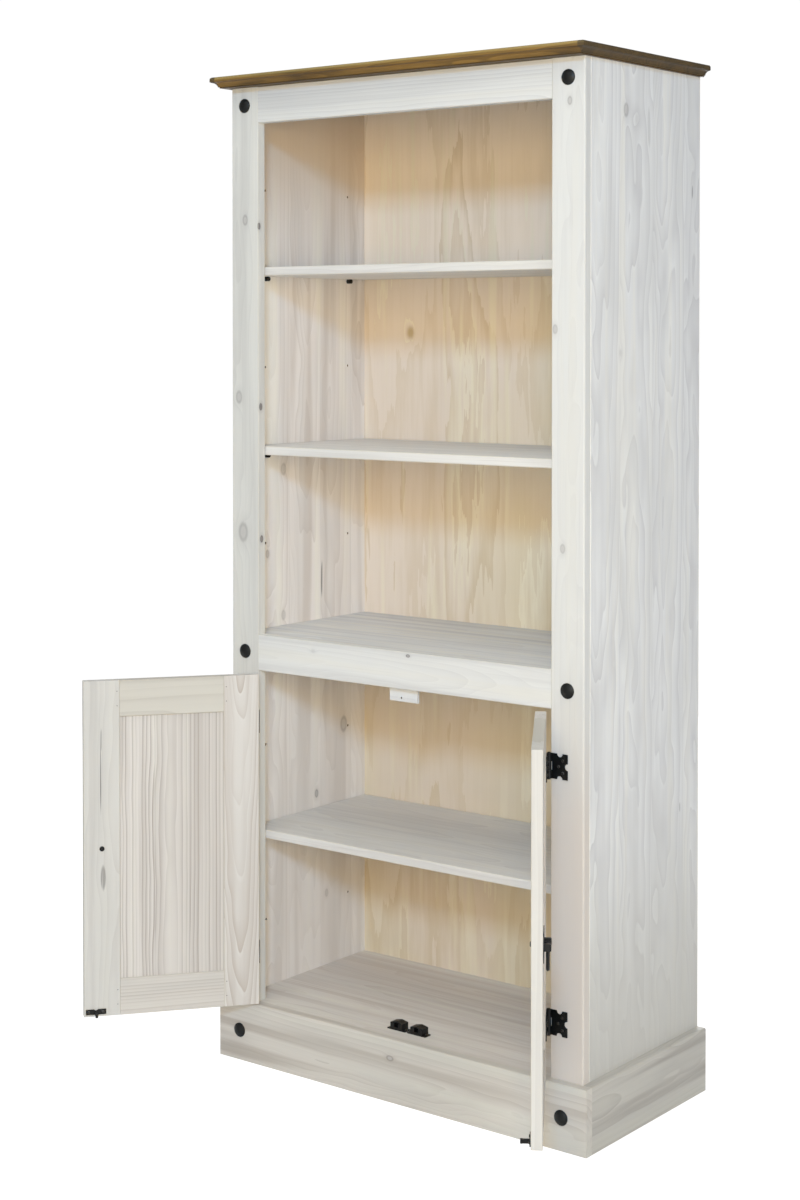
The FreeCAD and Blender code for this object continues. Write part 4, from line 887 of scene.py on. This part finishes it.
class BOOKCASE_OT_doors(bpy.types.Operator):
    """Finish the frames and glued panels of both doors"""

    bl_idname = "bookcase.doors"
    bl_label = "Doors"

    def execute(self, context):
        for seed, side, hand in ((131.0, "left_door_", -1.0), (163.0, "right_door_", 1.0)):
            washed_pine(
                side + "hinge_stile", "z", "y", seed=seed, wash=0.79, pink=0.75, line_pink=1.0, cream=0.5,
                lines=1.1, grey=0.1, streak=0.15, crisp=1.1, pitch=4.4, aside=3.0, deep=24.0, lean=-0.045,
                wobble=11.0,
            )
            washed_pine(
                side + "free_stile", "z", "y", seed=seed + 4, wash=0.7575 + 0.0275 * hand, pink=0.35,
                cream=0.8, lines=0.45, streak=0.15, aside=30.0 * hand, deep=30.0, lean=0.006, wobble=10.0,
                cracks=(
                    (467.0, 612.0, 31.4 * hand, 1.3, 1.0), (585.0, 632.0, 32.5 * hand, 2.6, 0.5),
                    (335.0, 388.0, 36.0 * hand, 5.5, 0.7),
                ),
            )
            washed_pine(
                side + "top_rail", "x", "y", seed=seed + 9, wash=0.675, pink=0.5, cream=1.7, lines=0.5,
                grey=0.15, streak=0.1, crisp=2.0, pitch=16.0, aside=40.0, deep=20.0, lean=0.02,
            )
            washed_pine(
                side + "bottom_rail", "x", "y", seed=seed + 13, wash=0.735, pink=1.0, cream=0.8, dark=0.85,
                lines=1.0, streak=0.1, crisp=1.6, pitch=5.5, aside=60.0, deep=14.0, lean=0.01, wobble=9.0,
            )
            washed_pine(
                side + "panel", "z", "y", seed=seed + 18, wash=0.835, pink=1.0, cream=0.4, dark=0.66,
                lines=1.5, grey=0.1, streak=0.12, edge=0.0, crisp=1.5, pitch=6.0, strip=62.3, fan=70.0,
                aside=6.0, lean=0.004, wobble=6.0,
            )
        return {"FINISHED"}


def black_iron():
    """Satin black paint on iron, faintly hammered and rubbed to grey in places."""
    options = bpy.context.scene.bookcase.iron
    finish = Finish("black_iron")
    place = finish.space(Vector(), Matrix.Identity(3))
    hammer = place.noise((0.16, 0.16, 0.16), shift=3.0)
    rub = place.noise((0.05, 0.05, 0.05), shift=8.0, detail=4.0, rough=0.65)
    worn = rub.smooth(0.52, 0.75)
    finish.set(
        Base_Color=(worn * 0.6).tint(options.iron_colour, options.worn_colour),
        Roughness=0.36 + rub * 0.25,
        Metallic=worn * 0.3,
        Specular_IOR_Level=0.22,
    )
    finish.bump(hammer, strength=0.25, depth_mm=0.6)
    return finish.material


def black_plastic():
    """Moulded black plastic with a fine dull skin."""
    options = bpy.context.scene.bookcase.iron
    finish = Finish("black_plastic")
    place = finish.space(Vector(), Matrix.Identity(3))
    skin = place.noise((1.6, 1.6, 1.6), shift=5.0)
    dust = place.noise((0.07, 0.07, 0.07), shift=12.0, detail=3.0)
    finish.set(
        Base_Color=(dust.smooth(0.5, 0.8) * 0.3).tint(options.plastic_colour, options.worn_colour),
        Roughness=0.42 + dust * 0.2,
        Specular_IOR_Level=0.22,
    )
    finish.bump(skin, strength=0.2, depth_mm=0.15)
    return finish.material


def screw_steel():
    """Dull zinc on steel, clouded."""
    finish = Finish("screw_steel")
    place = finish.space(Vector(), Matrix.Identity(3))
    cloud = place.noise((0.25, 0.25, 0.25), shift=6.0, detail=3.0)
    colour = cloud.smooth(0.35, 0.7).tint(srgb(168, 166, 160), srgb(120, 116, 108))
    finish.set(Base_Color=colour, Roughness=0.35 + cloud * 0.3, Metallic=1.0)
    finish.bump(cloud, strength=0.1, depth_mm=0.1)
    return finish.material


def dark_screw_steel():
    """Steel blacked by heat, rubbed brighter in cloudy patches."""
    finish = Finish("dark_screw_steel")
    place = finish.space(Vector(), Matrix.Identity(3))
    cloud = place.noise((0.5, 0.5, 0.5), shift=6.0, detail=3.0)
    colour = cloud.smooth(0.4, 0.7).tint(srgb(46, 45, 43), srgb(92, 90, 86))
    finish.set(Base_Color=colour, Roughness=0.26 + cloud * 0.2, Metallic=0.9)
    finish.bump(cloud, strength=0.1, depth_mm=0.05)
    return finish.material


def beech():
    """Turned beech with short dark flecks along the dowel."""
    finish = Finish("beech")
    place = finish.space(Vector(), Matrix.Identity(3))
    fleck = place.noise((0.5, 0.5, 0.5), shift=2.0, detail=3.0)
    colour = fleck.smooth(0.5, 0.7).tint(srgb(216, 184, 148), srgb(186, 148, 112))
    finish.set(Base_Color=colour, Roughness=0.6 + fleck * 0.1)
    finish.bump(fleck, strength=0.1, depth_mm=0.2)
    return finish.material


IRON_NODES = (
    "domed_studs", "left_case_hinge_leaves", "right_case_hinge_leaves", "left_hinge_pins", "right_hinge_pins",
    "left_door_hinge_leaves", "right_door_hinge_leaves", "left_door_pull_plate", "right_door_pull_plate",
    "left_door_pull_bail", "right_door_pull_bail", "left_door_pull_bolt", "right_door_pull_bolt",
    "left_door_joint_pins", "right_door_joint_pins",
)
PLASTIC_NODES = (
    "shelf_pegs", "left_catch", "right_catch", "left_door_spear_strike", "right_door_spear_strike",
)
STEEL_NODES = ("plinth_screws", "back_panel_nails")
DARK_SCREW_NODES = (
    "case_hinge_screws", "left_door_hinge_screws", "right_door_hinge_screws", "catch_screws",
    "left_door_strike_screws", "right_door_strike_screws",
)
BRIGHT_SCREW_NODES = ("door_stop_screws",)


class BOOKCASE_OT_ironwork(bpy.types.Operator):
    """Finish the hinges, pulls, domed studs and the doors' joint pins in black iron"""

    bl_idname = "bookcase.ironwork"
    bl_label = "Ironwork"

    def execute(self, context):
        material = black_iron()
        for name in IRON_NODES:
            wear(name, material)
        return {"FINISHED"}


class BOOKCASE_OT_catches(bpy.types.Operator):
    """Finish the catches, strikes and shelf pegs in black plastic"""

    bl_idname = "bookcase.catches"
    bl_label = "Catches and pegs"

    def execute(self, context):
        material = black_plastic()
        for name in PLASTIC_NODES:
            wear(name, material)
        return {"FINISHED"}


class BOOKCASE_OT_screws(bpy.types.Operator):
    """Put cross-headed screws in the hinges, catches, strikes and door stop"""

    bl_idname = "bookcase.screws"
    bl_label = "Screws"

    def execute(self, context):
        for names, material in ((DARK_SCREW_NODES, dark_screw_steel()), (BRIGHT_SCREW_NODES, screw_steel())):
            for name in names:
                cross_head_screws(name, material)
        return {"FINISHED"}


class BOOKCASE_OT_fixings(bpy.types.Operator):
    """Finish the hidden steel screws and nails, and the beech dowels"""

    bl_idname = "bookcase.fixings"
    bl_label = "Fixings"

    def execute(self, context):
        material = screw_steel()
        for name in STEEL_NODES:
            wear(name, material)
        wear("case_dowels", beech())
        return {"FINISHED"}


RIM_SHARE = 0.98
SHANK_SHARE = 0.2
DOME_FALL, RIM_FALL = 0.12, 0.40
POINT_SHARE = 0.15
CROSS_DEPTH = 0.5
CROSS_REACH, CROSS_REACH_FADE = 0.62, 0.14
CROSS_WIDTH, CROSS_WIDTH_FADE = 0.19, 0.07


def solid_labels(name):
    """The welded points of a CAD node, and a number for each that is the same within one solid."""
    mesh = frame["nodes"][name].data
    ends = np.empty(len(mesh.edges) * 2, np.int32)
    mesh.edges.foreach_get("vertices", ends)
    points, welded = np.unique(np.round(node_points(name), 6), axis=0, return_inverse=True)
    first, second = welded.reshape(-1)[ends.reshape(-1, 2)].T
    label, last = np.arange(len(points)), None
    while last is None or (label != last).any():
        last = label.copy()
        low = np.minimum(label[first], label[second])
        np.minimum.at(label, first, low)
        np.minimum.at(label, second, low)
    return points, label


def screw_frame(points):
    """A screw's own frame, its head's radius and height and its shank's radius and length, in metres.

    The axis is the longest way through the points, and the widest points are the head's rim."""
    middle = points.mean(0)
    axis = np.linalg.svd(points - middle)[2][0]
    along = (points - middle) @ axis
    out = np.linalg.norm(points - middle - along[:, None] * axis, axis=1)
    rim = along[out > RIM_SHARE * out.max()]
    if rim.mean() < 0:
        axis, along, rim = -axis, -along, -rim
    seat = rim.min()
    shank = out[(along < seat - MM) & (out > SHANK_SHARE * out.max())].max()
    side = np.cross(axis, np.eye(3)[np.abs(axis).argmin()])
    side /= np.linalg.norm(side)
    turn = np.array((side, np.cross(axis, side), axis))
    return middle + seat * axis, turn, out.max(), along.max() - seat, shank, seat - along.min()


def screw_grid(head_r, head, shank_r, length, rows=34, columns=72):
    """A screw about +Z with its seat at zero: a profile turned about the axis, less a cross.

    Row by row the profile is a low dome over the head, the rim, the seat, the shank and the
    point. The cross is the greater of two arms, each a product of soft steps along and across
    it, sunk by a share of the head's height."""
    angle = np.linspace(0, 2 * math.pi, columns, endpoint=False)
    share = np.linspace(0.03, 1.0, rows)
    top = head * (1 - DOME_FALL * share**2 - RIM_FALL * share**10)
    radius = np.concatenate((share * head_r, (head_r, shank_r, shank_r, shank_r * POINT_SHARE)))
    height = np.concatenate((top, (0.0, 0.0, 2 * shank_r - length, -length)))
    across = radius[:, None] * np.cos(angle) / head_r
    along = radius[:, None] * np.sin(angle) / head_r

    def arm(one, other):
        """1 within one arm of the cross, falling softly to 0 at its ends and sides."""
        reach = np.clip((CROSS_REACH - np.abs(one)) / CROSS_REACH_FADE, 0, 1)
        width = np.clip((CROSS_WIDTH - np.abs(other)) / CROSS_WIDTH_FADE, 0, 1)
        return reach * reach * (3 - 2 * reach) * width * width * (3 - 2 * width)

    sunk = CROSS_DEPTH * head * np.maximum(arm(across, along), arm(along, across)) * (height > 0)[:, None]
    rings = np.stack((across * head_r, along * head_r, height[:, None] - sunk), -1).reshape(-1, 3)
    poles = [[0, 0, head - CROSS_DEPTH * head]], [[0, 0, -length]]
    return np.concatenate((poles[0], rings, poles[1])), len(radius), columns


def turned_faces(rows, columns):
    """Corners of a turned surface: a fan at the first pole, rows of quads, and a fan at the last pole."""
    ring = 1 + np.arange(rows * columns).reshape(rows, columns)
    beside = np.roll(ring, -1, axis=1)
    quads = np.stack((ring[:-1], ring[1:], beside[1:], beside[:-1]), -1).reshape(-1, 4)
    pole = np.zeros(columns, int)
    first = np.stack((pole, ring[0], beside[0]), -1)
    last = np.stack((pole + rows * columns + 1, beside[-1], ring[-1]), -1)
    return first, quads, last


def cross_head_screws(name, material):
    """Screws with cross recesses, each in the place of one plain screw of a CAD node."""
    points, label = solid_labels(name)
    places, faces = [], []
    for number in np.unique(label):
        seat, turn, *sizes = screw_frame(points[label == number])
        grid, rows, columns = screw_grid(*sizes)
        start = sum(len(block) for block in places)
        faces += [corners for block in turned_faces(rows, columns) for corners in (block + start).tolist()]
        places.append(grid @ turn + seat)
    mesh = bpy.data.meshes.new(name + "_crossed")
    mesh.from_pydata(np.concatenate(places).tolist(), [], faces)
    mesh.shade_smooth()
    mesh.materials.append(material)
    piece = bpy.data.objects.new(name + "_crossed", mesh)
    bpy.context.scene.collection.objects.link(piece)
    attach(piece, frame["nodes"][name]["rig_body"])
    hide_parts(name)


LIGHT_AIM = Vector((0.0, 0.1, 0.9))
KEY_SIZE = 0.78
KEY_COLOUR = (0.23, 0.53, 0.92)
# Name, place, size, option that holds the watts, and colour of each light beside the key.
OTHER_LIGHTS = (
    ("fill_light", (1.9, -2.8, 1.58), 1.2, "fill_power", (1.0, 0.72, 0.31)),
    ("left_fill", (-0.6, -3.4, 1.4), 1.4, "left_power", (1.0, 0.86, 0.66)),
    ("side_light", (2.9, -1.3, 1.25), 1.0, "side_power", (1.0, 0.985, 0.95)),
    ("rear_light", (-1.6, 3.4, 0.95), 1.6, "rear_power", (0.97, 0.985, 1.0)),
    ("far_side_light", (-3.2, 1.5, 1.0), 1.4, "far_power", (0.97, 0.985, 1.0)),
    ("top_light", (0.0, -1.5, 4.0), 2.0, "top_power", (0.95, 0.96, 0.89)),
)
BACKDROP_STRENGTH = 1.02
FLOOR_SIDES = 96
FLOOR_GLOW = 1.58
FLOOR_GLOW_SHARE = 0.6
SENSOR_WIDTH = 36.0


def area_light(name, place, size, watts, colour):
    """A square area light at a place, facing the middle of the bookcase."""
    lamp = bpy.data.lights.new(name, "AREA")
    lamp.shape = "SQUARE"
    lamp.size = size
    lamp.energy = watts
    lamp.color = colour
    holder = bpy.data.objects.new(name, lamp)
    bpy.context.scene.collection.objects.link(holder)
    holder.location = place
    holder.rotation_euler = (LIGHT_AIM - Vector(place)).to_track_quat("-Z", "Y").to_euler()
    holder.visible_camera = False


def studio_world(room_light, room_colour):
    """White where the camera sees past the floor, and a lower even light on everything else."""
    world = bpy.data.worlds.new("studio")
    bpy.context.scene.world = world
    world.use_nodes = True
    tree = world.node_tree
    backdrop = tree.nodes["Background"]
    seen = Wire(tree, tree.nodes.new("ShaderNodeLightPath").outputs["Is Camera Ray"])
    seen.plug(backdrop.inputs["Color"], seen.tint(room_colour, (1.0, 1.0, 1.0)))
    seen.plug(backdrop.inputs["Strength"], room_light + seen * (BACKDROP_STRENGTH - room_light))


def studio_floor(radius):
    """A round floor: points at equal turns on a circle, joined into one face that glows to the camera."""
    turn = np.linspace(0, 2 * math.pi, FLOOR_SIDES, endpoint=False)
    points = np.column_stack((radius * np.cos(turn), radius * np.sin(turn), np.zeros_like(turn)))
    mesh = bpy.data.meshes.new("studio_floor")
    mesh.from_pydata(points.tolist(), [], [list(range(len(turn)))])
    floor = bpy.data.objects.new("studio_floor", mesh)
    bpy.context.scene.collection.objects.link(floor)
    finish = Finish("studio_floor")
    finish.set(Base_Color=(0.8, 0.8, 0.8), Roughness=0.9, Specular_IOR_Level=0.1)
    seen = finish.place.node("ShaderNodeLightPath", out="Is Camera Ray")
    glow = finish.place.node("ShaderNodeEmission", None, {"Strength": FLOOR_GLOW})
    paint = Wire(finish.tree, finish.shader.outputs[0])
    both = finish.place.node("ShaderNodeMixShader", None, {0: seen * FLOOR_GLOW_SHARE, 1: paint, 2: glow})
    finish.place.plug(finish.tree.nodes["Material Output"].inputs["Surface"], both)
    mesh.materials.append(finish.material)


class BOOKCASE_OT_stage(bpy.types.Operator):
    """Set up the pale floor, the studio light and the camera"""

    bl_idname = "bookcase.stage"
    bl_label = "Stage"

    def execute(self, context):
        options = context.scene.bookcase.stage
        context.scene.view_settings.view_transform = "Standard"
        context.scene.view_settings.gamma = options.print_gamma
        studio_world(options.room_light, options.room_colour)
        studio_floor(options.floor_radius)
        area_light("key_light", options.key_place, KEY_SIZE, options.key_power, KEY_COLOUR)
        for name, place, size, power, colour in OTHER_LIGHTS:
            area_light(name, place, size, getattr(options, power), colour)
        lens = bpy.data.cameras.new("camera")
        lens.sensor_fit = "AUTO"
        lens.sensor_width = SENSOR_WIDTH
        lens.lens = options.camera_lens
        lens.shift_y = options.camera_shift
        camera = bpy.data.objects.new("camera", lens)
        context.scene.collection.objects.link(camera)
        camera.location = options.camera_place
        camera.rotation_euler = (math.pi / 2 - options.camera_dip, 0.0, options.camera_turn)
        context.scene.camera = camera
        return {"FINISHED"}


STEPS = (
    BOOKCASE_OT_face_frame,
    BOOKCASE_OT_side_panels,
    BOOKCASE_OT_fixed_boards,
    BOOKCASE_OT_plinth,
    BOOKCASE_OT_top_board,
    BOOKCASE_OT_back_panel,
    BOOKCASE_OT_loose_shelves,
    BOOKCASE_OT_doors,
    BOOKCASE_OT_ironwork,
    BOOKCASE_OT_catches,
    BOOKCASE_OT_screws,
    BOOKCASE_OT_fixings,
    BOOKCASE_OT_stage,
)


class BOOKCASE_PT_panel(bpy.types.Panel):
    """Sidebar panel with one button for each group of pieces"""

    bl_idname = "BOOKCASE_PT_panel"
    bl_label = "Bookcase"
    bl_space_type = "VIEW_3D"
    bl_region_type = "UI"
    bl_category = "Bookcase"

    def draw(self, context):
        for step in STEPS:
            self.layout.operator(step.bl_idname)


CLASSES = (
    WashedPineOptions,
    StainedPineOptions,
    BackPlyOptions,
    IronOptions,
    StageOptions,
    BookcaseOptions,
    *STEPS,
    BOOKCASE_PT_panel,
)


def register():
    """Registers the classes and hangs the options on the scene."""
    for part in CLASSES:
        bpy.utils.register_class(part)
    bpy.types.Scene.bookcase = bpy.props.PointerProperty(type=BookcaseOptions)


def unregister():
    """Takes the options and the classes away again."""
    del bpy.types.Scene.bookcase
    for part in reversed(CLASSES):
        bpy.utils.unregister_class(part)


def main():
    """Finishes the pieces in order."""
    register()
    for step in STEPS:
        group, name = step.bl_idname.split(".")
        getattr(getattr(bpy.ops, group), name)()


if __name__ == "__main__":
    main()
